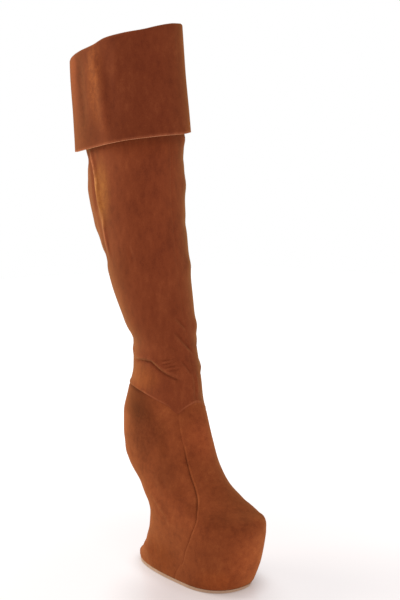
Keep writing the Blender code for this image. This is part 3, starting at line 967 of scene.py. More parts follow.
@dataclass
class Upper(Skin):
    """Vamp and quarters over foot and wedge, parted by an S-shaped seam down each side."""

    FRONT_STEPS = 400
    SEAM_PASSES = 8

    bottom: float = 3.4
    top: float = 213.0
    tuck: float = 1.6
    tuck_height: float = 4.0
    dip: Curve = Curve(((0.0, 0.3), (38.0, 0.2), (68.0, 0.15), (80.0, 0.7), (95.0, 1.4), (180.0, 1.6)))
    dip_height: float = 2.6
    # Painted shadow below the ankle seam, under the shaft's lap: its strength by degrees from the toe, then
    # how far down it reaches.
    shade: Curve = Curve(((0.0, 0.0), (70.0, 0.0), (80.0, 0.15), (92.0, 0.50), (100.0, 0.65), (130.0, 0.5),
                          (180.0, 0.35)))
    shade_height: Curve = Curve(((0.0, 1.6), (60.0, 2.2), (84.0, 3.5), (98.0, 6.0), (180.0, 7.0)))
    seam_width: float = 1.3
    # Painted shade down the side seam's groove.
    groove_shade: float = 0.45
    ridge_at: float = 2.4
    ridge_width: float = 1.3
    side_seam: Curve = Curve(((0.0, 94.0), (12.0, 92.8), (22.0, 91.2), (35.0, 88.0), (46.0, 85.2),
                              (58.0, 80.6), (72.0, 75.2), (82.0, 68.2), (96.0, 52.0), (107.0, 43.0),
                              (120.0, 39.0), (135.0, 38.5), (153.0, 38.5), (170.0, 39.5), (184.0, 39.5),
                              (199.0, 38.0)))
    side_seam_depth: Curve = Curve(((0.0, 0.3), (40.0, 0.4), (70.0, 0.6), (90.0, 1.0), (105.0, 1.4),
                                    (145.0, 1.3), (165.0, 0.6), (199.0, 0.35)))
    creases: tuple[Crease, ...] = (
        # Faint folds that slant down the quarter behind the side seam.
        Crease(((-78.0, 128.0), (-85.0, 114.0), (-87.0, 103.0), (-90.0, 93.0)), -0.5, 3.6, -0.35, 6.0, 3.8),
        Crease(((-106.0, 102.0), (-102.0, 87.0), (-96.0, 76.0), (-95.0, 66.0)), -0.6, 3.6, -0.4, -5.5, 3.6),
        # Across the instep.
        Crease(((-18.0, 117.5), (-6.0, 118.5), (10.0, 118.0)), -0.6, 1.6, -0.5, -3.5, 2.0),
        Crease(((-30.0, 104.0), (0.0, 103.0), (30.0, 104.0)), 0.5, 6.0),
        # Corner of the toe box, inner front.
        Crease(((4.0, 94.0), (26.0, 93.0), (48.0, 93.0)), -1.3, 8.0, fade=0.3),
        Crease(((0.0, 82.0), (22.0, 81.0), (46.0, 82.0)), -2.0, 7.0, fade=0.3, pale_and_shade_strength=1.5),
        Crease(((-6.0, 71.0), (16.0, 71.0), (40.0, 72.0)), 1.1, 5.0, fade=0.3, pale_and_shade_strength=0.0),
        # A fold on the inner quarter.
        Crease(((84.0, 112.0), (90.0, 100.0), (96.0, 84.0)), -0.9, 2.6, -0.7, 4.5, 2.5),
        # Low swells and dents down the outer back of heel and wedge.
        Crease(((-156.0, 137.0), (-136.0, 136.0), (-112.0, 135.0)), -1.2, 8.0, fade=0.3),
        Crease(((-156.0, 104.0), (-136.0, 102.0), (-114.0, 100.0)), 1.3, 9.0, fade=0.3),
        Crease(((-156.0, 37.0), (-136.0, 36.0), (-114.0, 35.0)), -1.0, 8.0, fade=0.3),
        Crease(((-156.0, 24.0), (-136.0, 23.5), (-114.0, 23.0)), -1.9, 6.5, fade=0.3),
        Crease(((-156.0, 11.5), (-136.0, 11.0), (-114.0, 10.5)), 1.2, 4.5, fade=0.3),
        INSTEP_DENT,
    )

    def seam_angle(self, seam: SideSeam, z: np.ndarray) -> np.ndarray:
        """Where a side seam runs.

        Args:
            seam: The seam.
            z: Heights.

        Returns:
            Its angle in radians at each height.
        """
        angle = np.radians(self.side_seam.at(z))
        if seam is SideSeam.OUTER:
            return -angle
        return angle if seam is SideSeam.INNER else 2.0 * math.pi - angle

    def surface(self, first: SideSeam, last: SideSeam, crowd: float, turned: float) -> Surface:
        """Outer face of a panel between the two side seams.

        Args:
            first: The seam that it starts at.
            last: The seam that it ends at.
            crowd: How much the columns crowd to the seams.
            turned: How far its edges are turned under, which leaves a soft ridge along them, pale partly as
                worn nap and partly as a painted highlight.

        Returns:
            A surface over shares across and up the panel.
        """
        rise = np.linspace(self.bottom, self.top, self.FRONT_STEPS)
        run = travelled(FORM.outline(np.full_like(rise, 0.0), rise))

        def outer(across: np.ndarray, up: np.ndarray) -> tuple[np.ndarray, np.ndarray]:
            """Lay the panel.

            Args:
                across: Shares from the first seam to the last.
                up: Shares from the sole to the ankle seam.

            Returns:
                The points, and their pale-and-shade marks.
            """
            level = np.interp(up * run[-1], run, rise)
            share_up = (level - self.bottom) / (self.top - self.bottom)
            share = spaced(across, crowd)
            z = level
            for _ in range(self.SEAM_PASSES):
                start = self.seam_angle(first, z)
                phi = start + (self.seam_angle(last, z) - start) * share
                z = self.bottom + (ankle_seam(phi) - self.bottom) * share_up
            points = FORM.outline(phi, z)
            from_first, from_last = (
                np.linalg.norm(points - FORM.outline(self.seam_angle(seam, z), z), axis=1)
                for seam in (first, last)
            )
            from_seam = np.minimum(from_first, from_last)
            lift, pale_and_shade = pressed(self.creases, points)
            low = np.clip(1.0 - (z - self.bottom) / self.tuck_height, 0.0, 1.0)
            depth = self.side_seam_depth.at(z)
            groove = depth * np.exp(-from_seam / self.seam_width)
            ridge = turned * depth * np.exp(-(((from_seam - self.ridge_at) / self.ridge_width) ** 2))
            below = ankle_seam(phi) - z
            degrees = np.abs(around(phi))
            lift += ridge - groove - self.tuck * low**2
            lift -= self.dip.at(degrees) * np.exp(-((below / self.dip_height) ** 2))
            # Pale along the turned ridge, worn nap and a painted highlight; painted shade in the seam's
            # groove and under the shaft's lap.
            pale_and_shade += ridge - self.groove_shade * groove
            pale_and_shade -= self.shade.at(degrees) * np.exp(-((below / self.shade_height.at(degrees)) ** 2))
            return FORM.spring(points + FORM.normal(phi, z) * lift[:, None]), pale_and_shade

        return outer

    def build(self) -> list[bpy.types.Object]:
        """Lay vamp and quarters.

        Returns:
            Both panels.
        """
        front = self.surface(SideSeam.OUTER, SideSeam.INNER, crowd=0.45, turned=0.4)
        back = self.surface(SideSeam.INNER, SideSeam.OUTER_ROUND_THE_BACK, crowd=0.55, turned=0.0)
        vamp = self.panel("vamp", columns=130, rows=150, surface=front, suede=FOOT_SUEDE)
        quarter = self.panel("quarter", columns=170, rows=150, surface=back, suede=FOOT_SUEDE)
        for piece in (vamp, quarter):
            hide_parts("upper")
        return [vamp, quarter]


@dataclass
class Shaft(Skin):
    """Leg of the boot, an outer and an inner half sewn together down the front and the back."""

    RIM_GUESS = 640.0
    RIM_PASSES = 12

    rim_height: float = 664.0
    rim_back_slope: float = -0.20
    rim_side_slope: float = 0.10
    rim_wave: Curve = Curve(((-180.0, 2.0), (-126.0, 2.5), (-102.0, 1.6), (-84.0, 0.0), (-71.0, 1.7),
                             (-52.0, 0.2), (-29.0, -1.4), (-12.0, 0.2), (6.0, 3.0), (20.0, 4.7), (30.0, 6.5),
                             (38.0, 8.3), (48.0, 8.4), (62.0, 6.0), (84.0, 1.0), (180.0, 2.0)))
    crowd: float = 0.55
    seam_depth: float = 0.3
    seam_width: float = 1.3
    lap: Curve = Curve(((0.0, 0.4), (24.0, 0.4), (38.0, 0.2), (68.0, 0.25), (85.0, 1.0), (180.0, 0.8)))
    lap_at: float = 1.4
    lap_height: float = 2.4
    lap_below: float = 0.6
    # Painted highlight along the lap's rolled edge, by degrees from the toe.
    lap_highlight: Curve = Curve(((0.0, 0.9), (24.0, 0.9), (33.0, 0.5), (40.0, 0.15), (50.0, 0.5), (70.0, 0.7),
                            (85.0, 0.9), (97.0, 0.1), (180.0, 0.1)))
    rows: Curve = Curve(((0.0, 0.0), (0.5, 0.235), (0.65, 0.40), (1.0, 1.0)))
    creases: tuple[Crease, ...] = (
        # The fold round the outer ankle and the small puckers that run out of it.
        Crease(((-119.0, 256.0), (-102.0, 256.8), (-88.0, 257.4), (-75.0, 256.9), (-67.0, 252.9),
                (-58.0, 247.4), (-47.0, 242.4), (-33.0, 237.8), (-22.0, 233.5)),
               1.8, 1.9, 1.6, 3.6, 2.6, 0.15),
        Crease(((-60.0, 258.5), (-44.0, 260.5), (-30.0, 262.0)), 0.9, 1.2, 0.6, -2.4, 1.4),
        Crease(((-56.0, 254.5), (-41.0, 257.5), (-27.0, 260.5)), 0.8, 1.1, 0.6, 2.0, 1.2),
        Crease(((-53.0, 250.5), (-42.0, 253.0), (-28.0, 255.5)), 0.9, 1.2, 0.6, 2.2, 1.3),
        Crease(((-50.0, 247.5), (-39.0, 249.0), (-22.0, 251.0)), 0.8, 1.2, 0.6, 2.2, 1.3),
        # Pulls that slant down to the front of the ankle.
        Crease(((-28.0, 300.0), (-19.5, 291.5), (-13.0, 285.3), (-6.0, 279.7), (3.0, 273.5), (16.0, 265.0)),
               1.4, 1.9, 1.0, -3.6, 2.6),
        Crease(((-18.0, 314.0), (-8.0, 305.0), (2.0, 298.0)), 1.2, 1.8, 0.9, -3.4, 2.4),
        Crease(((-44.0, 281.0), (-34.0, 275.0), (-24.0, 271.0)), 0.8, 2.0, 0.6, -3.4, 2.2),
        Crease(((-23.0, 263.0), (-16.0, 256.5), (-9.5, 250.0), (-4.0, 243.0)), 0.9, 1.4, 0.6, -2.8, 1.8),
        # A short dent in the side of the calf.
        Crease(((-66.0, 400.0), (-64.0, 389.0), (-60.0, 375.0)), 0.8, 2.2, 0.4, 3.5, 2.5),
        # Long fold down the outer back of the calf, in two stretches.
        Crease(((-112.0, 522.0), (-106.0, 503.5), (-102.0, 491.5), (-100.0, 477.0), (-99.0, 462.0),
                (-97.0, 446.0), (-95.0, 434.0)), -2.6, 3.6, -1.9, -9.0, 5.0, 0.2),
        Crease(((-94.0, 438.0), (-97.0, 425.5), (-100.5, 411.0), (-102.0, 396.5), (-101.0, 376.0)),
               -1.6, 4.0, -0.9, -9.0, 5.0, 0.25),
        # Its crest, with a painted highlight along it.
        Crease(((-109.0, 511.0), (-105.5, 501.0), (-102.5, 491.5), (-101.0, 484.0), (-99.5, 477.0),
                (-99.0, 470.0), (-100.0, 459.0)), -0.5, 1.6, fade=0.2, pale_and_shade_strength=5.6),
        Crease(((-94.5, 438.0), (-96.5, 425.5), (-99.0, 418.5), (-100.5, 411.0), (-101.7, 403.5),
                (-101.5, 396.5), (-100.0, 385.0)), -0.5, 1.6, fade=0.2, pale_and_shade_strength=5.6),
        # Slack of the empty leg: low swells and dents on the outer back, then on the inner front.
        Crease(((-158.0, 506.0), (-138.0, 503.0), (-118.0, 500.0)), 2.0, 9.0, fade=0.3),
        Crease(((-158.0, 469.0), (-138.0, 466.0), (-118.0, 463.0)), -1.3, 12.0, fade=0.3),
        Crease(((-158.0, 422.0), (-138.0, 420.0), (-118.0, 417.0)), -1.3, 10.0, fade=0.3),
        Crease(((-152.0, 374.0), (-132.0, 380.0), (-114.0, 388.0)), 2.9, 10.0, fade=0.35),
        Crease(((-158.0, 286.0), (-138.0, 285.0), (-115.0, 284.0)), 1.7, 6.0, fade=0.3),
        Crease(((-158.0, 269.0), (-138.0, 268.0), (-115.0, 267.0)), -1.2, 6.0, fade=0.3),
        Crease(((12.0, 529.0), (40.0, 527.0), (68.0, 522.0)), -2.3, 8.0, fade=0.35),
        Crease(((12.0, 506.0), (40.0, 503.0), (68.0, 499.0)), 0.8, 6.0, fade=0.35),
        Crease(((12.0, 474.0), (40.0, 471.0), (68.0, 466.0)), -1.9, 11.0, fade=0.35),
        Crease(((12.0, 427.0), (40.0, 424.0), (68.0, 420.0)), 1.1, 8.0, fade=0.35),
        Crease(((12.0, 376.0), (37.0, 373.0), (65.0, 370.0)), -1.5, 10.0, fade=0.35),
        Crease(((14.0, 302.0), (40.0, 299.0), (66.0, 296.0)), -1.9, 9.0, fade=0.35),
        # Front of the ankle, beside the front seam.
        Crease(((3.0, 246.0), (3.0, 232.0), (2.0, 217.0)), 0.7, 2.0, 0.5, 4.0, 2.5),
        INSTEP_DENT,
        # Inner side, which the camera does not see: a like fold and a pull.
        Crease(((30.0, 238.0), (45.0, 245.0), (60.0, 252.0), (80.0, 257.0), (104.0, 256.0)),
               2.2, 2.2, 1.6, 3.8, 3.0),
        Crease(((28.0, 268.0), (48.0, 279.0), (70.0, 284.0)), 1.2, 2.4, 0.8, 3.6, 2.6),
    )

    def rim(self, phi: np.ndarray) -> np.ndarray:
        """Height of the shaft's top edge.

        Args:
            phi: Angles round the boot in radians.

        Returns:
            One height for each angle.
        """
        z = np.full_like(phi, self.RIM_GUESS)
        for _ in range(self.RIM_PASSES):
            points = FORM.outline(phi, z)
            z = self.rim_height + self.rim_back_slope * points[:, 1] + self.rim_side_slope * points[:, 0]
        return z + self.rim_wave.at(around(phi))

    def surface(self, first: float, last: float) -> Surface:
        """Outer face of one half.

        Args:
            first: Angle in radians that it starts at.
            last: Angle that it ends at.

        Returns:
            A surface over shares across and up the half.
        """

        def outer(across: np.ndarray, up: np.ndarray) -> tuple[np.ndarray, np.ndarray]:
            """Lay the half.

            Args:
                across: Shares from the first angle to the last.
                up: Shares from the ankle seam to the rim.

            Returns:
                The points, and their pale-and-shade marks.
            """
            phi = first + (last - first) * spaced(across, self.crowd)
            low = ankle_seam(phi) - self.lap_below
            z = low + (self.rim(phi) - low) * self.rows.at(up)
            points = FORM.outline(phi, z)
            lift, pale_and_shade = pressed(self.creases, points)
            for seam in (first, last):
                away = np.linalg.norm(points - FORM.outline(np.full_like(phi, seam), z), axis=1)
                lift -= self.seam_depth * np.exp(-away / self.seam_width)
            above = z - low
            degrees = np.abs(around(phi))
            lift += self.lap.at(degrees) * np.exp(-(((above - self.lap_at) / self.lap_height) ** 2))
            pale_and_shade += self.lap_highlight.at(degrees) * np.exp(-(((above - self.lap_at) / self.lap_at) ** 2))
            return points + FORM.normal(phi, z) * lift[:, None], pale_and_shade

        return outer

    def build(self) -> list[bpy.types.Object]:
        """Lay both halves.

        Returns:
            The outer half and the inner one.
        """
        outer = self.panel("shaft_outer_suede", columns=160, rows=230,
                           surface=self.surface(-math.pi, 0.0), suede=SHAFT_SUEDE)
        inner = self.panel("shaft_inner_suede", columns=110, rows=230,
                           surface=self.surface(0.0, math.pi), suede=SHAFT_SUEDE)
        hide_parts("shaft_outer")
        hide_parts("shaft_inner")
        return [outer, inner]


@dataclass
class Cuff(Skin):
    """Top of the shaft folded outwards and down, parted at the back."""

    wall: float = 2.8
    fold_radius: float = 2.2
    gap: float = 0.8
    clear_front: float = 9.4
    clear_side: float = 2.4
    clear_back: float = 17.0
    hem_height: float = 539.0
    hem_back_slope: float = -0.117
    hem_side_slope: float = 0.11
    hem_wave: Curve = Curve(((-180.0, 9.0), (-168.0, 8.4), (-156.0, 5.2), (-146.0, 1.4), (-136.0, -0.3),
                             (-90.0, -0.8), (-60.0, -1.4), (-25.0, -2.6), (8.0, -2.4), (24.0, -0.4),
                             (45.0, 2.0), (90.0, 6.0), (135.0, 8.5), (180.0, 9.0)))
    hem_level: float = 525.0
    slit_top_half: float = 0.3
    slit_hem_half: float = 10.0
    slit_reach: float = 22.0
    corner_radius: float = 18.0
    radius: float = 74.0
    drop: float = 120.0
    fold_share: float = 0.14
    crowd: float = 0.5
    crease_start: float = 6.0
    hem_crowd: float = 1.3
    hem_rub: float = 1.0
    hem_line: float = 2.4
    shaft: Shaft = field(default_factory=Shaft)
    folds: tuple[Crease, ...] = (
        # Soft rolls and hollows down the cuff: on its outer side, its front, then its inner side.
        Crease(((-85.0, 640.0), (-81.0, 612.0), (-77.0, 592.0), (-76.0, 570.0), (-75.0, 524.0)),
               -2.3, 8.0, fade=0.16),
        Crease(((-104.0, 638.0), (-102.0, 610.0), (-103.0, 575.0), (-104.0, 535.0)), 1.1, 8.5, fade=0.25),
        Crease(((-57.0, 645.0), (-58.0, 604.0), (-60.0, 578.0)), -0.9, 6.0, fade=0.3),
        Crease(((9.0, 658.0), (8.0, 635.0), (7.0, 608.0)), -0.4, 1.6, -0.4, 3.0, 1.6),
        Crease(((84.0, 640.0), (82.0, 600.0), (80.0, 545.0)), -1.2, 8.0, fade=0.2),
        Crease(((60.0, 630.0), (62.0, 585.0)), 1.0, 8.0, fade=0.3),
    )

    def middle(self, phi: np.ndarray, along: np.ndarray) -> np.ndarray:
        """Middle of the cuff's wall.

        Args:
            phi: Angles round the boot in radians.
            along: 0 to 1 over the fold from inside, then to 2 down to the hem.

        Returns:
            One point for each pair.
        """
        turn = np.clip(along, 0.0, 1.0) * math.pi
        fall = np.clip(along - 1.0, 0.0, 1.0)
        top = self.shaft.rim(phi) + self.gap
        level = FORM.outline(phi, np.full_like(phi, self.hem_level))
        hem = self.hem_height + self.hem_back_slope * level[:, 1] + self.hem_side_slope * level[:, 0]
        hem = hem + self.hem_wave.at(around(phi))
        end = np.where(np.cos(phi) > 0.0, self.clear_front, self.clear_back)
        clear = self.clear_side + (end - self.clear_side) * np.cos(phi) ** 2
        half = 0.5 * self.wall
        out = self.fold_radius * (1.0 - np.cos(turn)) - half
        out = out + (clear + half - (2.0 * self.fold_radius - half)) * fall
        z = top + self.fold_radius * np.sin(turn) - (top - hem) * fall
        level = np.minimum(z, top)
        base = FORM.outline(phi, level)
        ahead = FORM.outline(phi + FORM.TURN_STEP, level) - FORM.outline(phi - FORM.TURN_STEP, level)
        flat = np.stack([ahead[:, 1], -ahead[:, 0]], axis=-1)
        flat = flat / np.linalg.norm(flat, axis=-1, keepdims=True)
        out = out + pressed(self.folds, base)[0] * np.clip(fall * self.crease_start, 0.0, 1.0)
        return np.stack([base[:, 0] + out * flat[:, 0], base[:, 1] + out * flat[:, 1], z], axis=-1)

    def surface(self, across: np.ndarray, up: np.ndarray) -> tuple[np.ndarray, np.ndarray]:
        """Middle of the wall over shares round the leg and from the hem to the inside of the fold.

        Args:
            across: Shares round the leg from the slit.
            up: Shares from the hem, where the rows crowd.

        Returns:
            The points, and their pale-and-shade marks: pale along the hem, for the pale cut edge.
        """
        column = (2.0 * spaced(across, self.crowd) - 1.0) * math.pi
        from_slit = (math.pi - np.abs(column)) * self.radius
        bite = np.clip(1.0 - from_slit / self.corner_radius, 0.0, 1.0)
        rounding = self.corner_radius * (1.0 - np.sqrt(1.0 - bite**2)) / self.drop
        down = 1.0 - up**self.hem_crowd
        turn = np.clip(down / self.fold_share, 0.0, 1.0)
        fall = np.clip((down - self.fold_share) / (1.0 - self.fold_share), 0.0, 1.0) * (1.0 - rounding)
        parting = (self.slit_top_half + (self.slit_hem_half - self.slit_top_half) * fall) / self.radius
        phi = column - np.sign(column) * parting * np.exp(-((from_slit / self.slit_reach) ** 2))
        from_hem = (1.0 - down) / (1.0 - self.fold_share) * self.drop
        return self.middle(phi, turn + fall), self.hem_rub * np.exp(-((from_hem / self.hem_line) ** 2))

    def build(self) -> list[bpy.types.Object]:
        """Lay the cuff.

        Returns:
            The cuff alone.
        """
        cuff = self.panel("cuff_suede", columns=220, rows=90, surface=self.surface, suede=CUFF_SUEDE,
                          growth=Growth.BOTH_WAYS)
        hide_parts("cuff")
        return [cuff]


@dataclass
class RearPanel:
    """Bronze panel down the hollow back of the wedge, set with round studs."""

    BACK_STEPS = 300

    half_width: float = 18.0
    waist: float = 2.5
    corner: float = 3.0
    corner_share: float = 0.03
    low: float = 30.0
    high: float = 114.0
    stand_off: float = 0.15
    wall: float = 1.1
    stud_radius: float = 3.1
    stud_height: float = 2.1
    stud_pitch: float = 8.4
    stud_row_share: float = 0.87
    stud_sink: float = 0.1
    studs_a_row: tuple[int, int] = (4, 3)

    def back(self, x: np.ndarray, z: np.ndarray, out: float) -> np.ndarray:
        """Points on the back of the wedge.

        Args:
            x: Sideways places.
            z: Heights.
            out: How far the points stand out from the wedge.

        Returns:
            One point for each pair.
        """
        share = np.clip(x / FORM.curves["half_in"].at(z), -1.0, 1.0)
        phi = math.pi - np.arcsin(np.sign(share) * np.abs(share) ** (FORM.curves["n_back"].at(z) / 2.0))
        return FORM.outline(phi, z) + out * FORM.normal(phi, z)

    def surface(self, across: np.ndarray, up: np.ndarray) -> tuple[np.ndarray, np.ndarray]:
        """Inner face of the panel, its sides drawn in a little towards the middle of its height.

        Args:
            across: Shares from its inner side to its outer one.
            up: Shares from its lower end.

        Returns:
            The points, and their pale-and-shade marks, which are none.
        """
        z = self.low + (self.high - self.low) * up
        half = self.half_width - self.waist * np.sin(math.pi * up) ** 2
        past = np.clip((np.abs(up - 0.5) - 0.5) / self.corner_share + 1.0, 0.0, 1.0)
        end = self.corner * (1.0 - np.sqrt(1.0 - past**2))
        x = -(2.0 * across - 1.0) * (half - end)
        return self.back(x, z, self.stand_off), np.zeros_like(x)

    def studs(self) -> bpy.types.Object:
        """Copy one dome in staggered rows.

        Returns:
            The domes joined.
        """
        Bench.clear()
        bpy.ops.mesh.primitive_uv_sphere_add(segments=14, ring_count=8, radius=1.0)
        dome = bpy.context.active_object
        bpy.ops.object.mode_set(mode="EDIT")
        bpy.ops.mesh.select_all(action="SELECT")
        bpy.ops.mesh.bisect(plane_co=(0.0, 0.0, 0.0), plane_no=(0.0, 0.0, 1.0), use_fill=True,
                            clear_inner=True)
        bpy.ops.object.mode_set(mode="OBJECT")
        rise = np.linspace(self.low, self.high, self.BACK_STEPS)
        run = travelled(self.back(np.zeros_like(rise), rise, 0.0))
        row_step = self.stud_pitch * self.stud_row_share
        rows = int((run[-1] - 2.0 * self.stud_pitch) / row_step)
        copies = []
        for row in range(rows + 1):
            z = np.interp(self.stud_pitch + row * row_step, run, rise)
            count = self.studs_a_row[row % 2]
            for k in range(count):
                x = (k - 0.5 * (count - 1)) * self.stud_pitch
                copies.append(self.stud(dome, x, float(z)))
        bpy.data.objects.remove(dome)
        Bench.clear()
        for copy in copies:
            copy.select_set(True)
        bpy.context.view_layer.objects.active = copies[0]
        bpy.ops.object.join()
        studs = bpy.context.active_object
        studs.name = "rear_studs"
        bpy.ops.object.transform_apply(location=True, rotation=True, scale=True)
        return studs

    def stud(self, dome: bpy.types.Object, x: float, z: float) -> bpy.types.Object:
        """Stand a copy of the dome on the panel.

        Args:
            dome: Half of a ball of radius 1.
            x: Sideways place.
            z: Height.

        Returns:
            The copy.
        """
        at = np.array([x])
        level = np.array([z])
        foot = self.back(at, level, self.stand_off + self.wall - self.stud_sink)[0]
        out = Vector(self.back(at, level, 1.0)[0] - self.back(at, level, 0.0)[0])
        size = Matrix.Diagonal((self.stud_radius * MM, self.stud_radius * MM, self.stud_height * MM, 1.0))
        turn = out.to_track_quat("Z", "Y").to_matrix().to_4x4()
        copy = dome.copy()
        copy.data = dome.data.copy()
        bpy.context.scene.collection.objects.link(copy)
        copy.matrix_world = Matrix.Translation(Vector(foot) * MM) @ turn @ size
        return copy

    def build(self) -> list[bpy.types.Object]:
        """Make the panel and its studs.

        Returns:
            The panel and the joined studs.
        """
        panel = Bench.sheet("rear_panel", columns=28, rows=72)
        Bench.lay(panel, self.surface)
        Bench.thicken(panel, self.wall, Growth.OUTWARDS)
        leather = BRONZE_LEATHER.material()
        for _ in ("face", "back", "edge"):
            panel.data.materials.append(leather)
        Bench.smooth(panel)
        studs = self.studs()
        studs.data.materials.clear()
        studs.data.materials.append(STUD_METAL.material())
        Bench.smooth(studs, degrees=60.0)
        for piece in (panel, studs):
            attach(piece, "root")
        return [panel, studs]


@dataclass
class Sole:
    """Outsole, sock and hidden wedge core."""

    FLAT = (1.0, 1.0, 0.0)

    thick: float = 4.4
    inset: float = 0.7
    bevel: float = 0.9
    top_bevel: float = 0.36
    middle: Spot = (0.0, 20.0, 0.0)

    def tread(self, across: np.ndarray, up: np.ndarray) -> tuple[np.ndarray, np.ndarray]:
        """Outsole as one closed skin: out along its underside, up its edge and back over its top.

        Args:
            across: Shares round the sole.
            up: Shares from the middle of the underside to the middle of the top.

        Returns:
            The points, and their pale-and-shade marks, which are none.
        """
        phi = 2.0 * math.pi * across
        reach_line = ((0.0, 0.0), (0.36, 0.97), (0.42, 1.0), (0.58, 1.0), (0.64, 0.97), (1.0, 0.0))
        height_line = ((0.0, 0.0), (0.38, 0.0), (0.44, self.bevel), (0.56, self.thick - self.top_bevel),
                       (0.62, self.thick), (1.0, self.thick))
        reach = np.interp(up, *zip(*reach_line))
        z = np.interp(up, *zip(*height_line))
        rim = FORM.outline(phi, z) - self.inset * FORM.normal(phi, z) * self.FLAT
        middle = np.array(self.middle)
        points = middle + (rim - middle) * np.stack([reach, reach, np.ones_like(reach)], axis=-1)
        points[:, 2] = z
        return FORM.spring(points), np.zeros_like(z)

    def outsole(self) -> bpy.types.Object:
        """Lay the outsole.

        Returns:
            The outsole.
        """
        outsole = Bench.sheet("outsole_tread", columns=180, rows=50)
        Bench.lay(outsole, self.tread)
        Bench.close(outsole)
        outsole.data.materials.append(SOLE_RUBBER.material())
        Bench.smooth(outsole, degrees=50.0)
        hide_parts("outsole")
        return outsole

    def sock(self) -> bpy.types.Object:
        """Dress a copy of the insole as a leather sock.

        Returns:
            The sock.
        """
        Bench.take(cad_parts["insole"])
        bpy.ops.object.duplicate()
        sock = bpy.context.active_object
        sock.name = "sock"
        Bench.close(sock)
        sock.data.materials.clear()
        sock.data.materials.append(SOCK_LEATHER.material())
        Bench.smooth(sock, degrees=50.0)
        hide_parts("insole")
        return sock

    def core(self) -> None:
        """Dress the wedge, which keeps its own mesh, as cork."""
        cork = WEDGE_CORK.material()
        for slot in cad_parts["wedge"].material_slots:
            slot.link = "OBJECT"
            slot.material = cork

    def build(self) -> list[bpy.types.Object]:
        """Make the outsole and the sock, and dress the core.

        Returns:
            The new pieces.
        """
        pieces = [self.outsole(), self.sock()]
        for piece in pieces:
            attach(piece, "root")
        self.core()
        return pieces


@dataclass(frozen=True)
class Lamp:
    """A square soft light, in metres and watts."""

    name: str
    place: Spot
    size: float
    power: float
    tint: Color

    def hang(self, target: Spot) -> None:
        """Hang the light.

        Args:
            target: The point that it faces.
        """
        Bench.clear()
        aim = Vector(target) - Vector(self.place)
        turn = aim.to_track_quat("-Z", "Y").to_euler()
        bpy.ops.object.light_add(type="AREA", location=self.place, rotation=turn)
        lamp = bpy.context.active_object
        lamp.name = self.name
        lamp.data.size = self.size
        lamp.data.energy = self.power
        lamp.data.color = self.tint


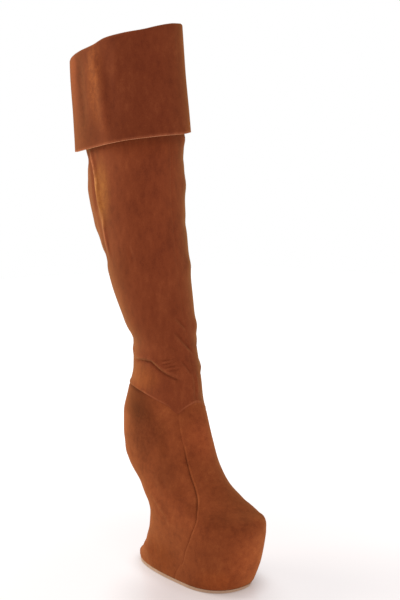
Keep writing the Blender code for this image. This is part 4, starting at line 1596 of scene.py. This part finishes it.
@dataclass
class Studio:
    """White floor, soft lights and the camera, in metres and degrees, the lens in millimetres.

    The floor glows, which is painted light. Away from the boot the glow brings it up to white. Round
    where the boot stands it glows less and pinker, least at the middle, a painted shadow and
    reflection of the boot, and where the boot is close it glows less still, a painted contact shadow.
    """

    floor_size: float = 8.0
    floor_color: Color = (0.37, 0.335, 0.335)
    floor_roughness: float = 0.3
    # The floor's glow is painted light: lowest round the boot as a painted shadow and reflection.
    painted_shadow_glow: Color = (0.41, 0.375, 0.370)
    mid_glow: Color = (0.67, 0.65, 0.65)
    far_glow: Color = (0.92, 0.92, 0.92)
    painted_shadow_middle: Spot = (-0.050, -0.030, 0.0)
    painted_shadow_band: Place = (0.02, 0.12)
    far_band: Place = (0.15, 0.8)
    # The glow where the boot is close: a painted contact shadow.
    painted_contact_shadow: Color = (0.30, 0.26, 0.245)
    contact_reach: float = 0.028
    contact_band: Place = (0.25, 1.0)
    ambient: float = 0.41
    ambient_tint: Color = (1.0, 0.98, 0.96)
    camera_place: Spot = (-0.7420, -0.8095, 0.450)
    camera_pitch: float = 84.05
    camera_turn: float = -42.0
    lens: float = 56.4
    sensor: float = 36.0
    target: Spot = (0.0, 0.05, 0.33)
    lamps: tuple[Lamp, ...] = (
        Lamp("key", (-0.95, 1.6, 1.3), size=1.0, power=36.0, tint=(1.0, 0.97, 0.9)),
        Lamp("fill", (0.6, -0.95, 0.16), size=0.5, power=1.5, tint=(1.0, 0.98, 0.96)),
        Lamp("top", (-0.5, -1.0, 1.9), size=1.3, power=13.0, tint=(1.0, 1.0, 1.0)),
    )

    def floor(self) -> None:
        """Lay a wide pale floor."""
        Bench.clear()
        bpy.ops.mesh.primitive_plane_add(size=self.floor_size)
        floor = bpy.context.active_object
        floor.name = "floor"
        material, graph, shader = Finish.start("floor")
        shader.inputs["Base Color"].default_value = (*self.floor_color, 1.0)
        shader.inputs["Roughness"].default_value = self.floor_roughness
        place = graph.add("ShaderNodeTexCoord").outputs["Object"]
        far = graph.add("ShaderNodeVectorMath", operation="DISTANCE")
        graph.feed(far.inputs[0], place)
        graph.feed(far.inputs[1], self.painted_shadow_middle)
        # Painted shadow and reflection: the glow is lowest round the boot.
        out_of_painted_shadow = graph.ramp(far.outputs["Value"], *self.painted_shadow_band)
        floor_glow_and_painted_shadow = graph.mix(out_of_painted_shadow, (*self.painted_shadow_glow, 1.0), (*self.mid_glow, 1.0))
        floor_glow_and_painted_shadow = graph.mix(graph.ramp(far.outputs["Value"], *self.far_band), floor_glow_and_painted_shadow, (*self.far_glow, 1.0))
        # Painted contact shadow where ambient occlusion finds the boot close.
        shut = graph.add("ShaderNodeAmbientOcclusion", samples=16)
        shut.inputs["Distance"].default_value = self.contact_reach
        out_of_painted_contact_shadow = graph.ramp(shut.outputs["AO"], *self.contact_band)
        floor_glow_and_painted_shadow = graph.mix(out_of_painted_contact_shadow, (*self.painted_contact_shadow, 1.0), floor_glow_and_painted_shadow)
        graph.feed(shader.inputs["Emission Color"], floor_glow_and_painted_shadow)
        shader.inputs["Emission Strength"].default_value = 1.0
        floor.data.materials.append(material)

    def backdrop(self) -> None:
        """Hang white paper behind the boot, which lights it less than it shows."""
        world = bpy.context.scene.world or bpy.data.worlds.new("studio")
        bpy.context.scene.world = world
        world.use_nodes = True
        graph = Graph(world.node_tree)
        seen = world.node_tree.nodes["Background"]
        seen.inputs["Color"].default_value = (1.0, 1.0, 1.0, 1.0)
        cast = graph.add("ShaderNodeBackground")
        cast.inputs["Color"].default_value = (*self.ambient_tint, 1.0)
        cast.inputs["Strength"].default_value = self.ambient
        mix = graph.add("ShaderNodeMixShader")
        graph.feed(mix.inputs[0], graph.add("ShaderNodeLightPath").outputs["Is Camera Ray"])
        graph.feed(mix.inputs[1], cast.outputs[0])
        graph.feed(mix.inputs[2], seen.outputs[0])
        graph.feed(world.node_tree.nodes["World Output"].inputs["Surface"], mix.outputs[0])

    def camera(self) -> None:
        """Stand the camera where it sees the boot as the photograph does."""
        Bench.clear()
        turn = (math.radians(self.camera_pitch), 0.0, math.radians(self.camera_turn))
        bpy.ops.object.camera_add(location=self.camera_place, rotation=turn)
        camera = bpy.context.active_object
        camera.data.lens = self.lens
        camera.data.sensor_width = self.sensor
        bpy.context.scene.camera = camera
        bpy.context.scene.view_settings.view_transform = "Standard"

    def build(self) -> None:
        """Set the stage."""
        self.floor()
        self.backdrop()
        for lamp in self.lamps:
            lamp.hang(self.target)
        self.camera()


def main() -> None:
    """Build every sub-assembly in order."""
    logging.basicConfig(level=logging.INFO, format="%(message)s")
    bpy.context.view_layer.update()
    for assembly in (Sole(), Upper(), Shaft(), Cuff(), RearPanel()):
        for piece in assembly.build():
            LOG.info("%s: %d faces", piece.name, len(piece.data.polygons))
    Studio().build()


if __name__ == "__main__":
    main()
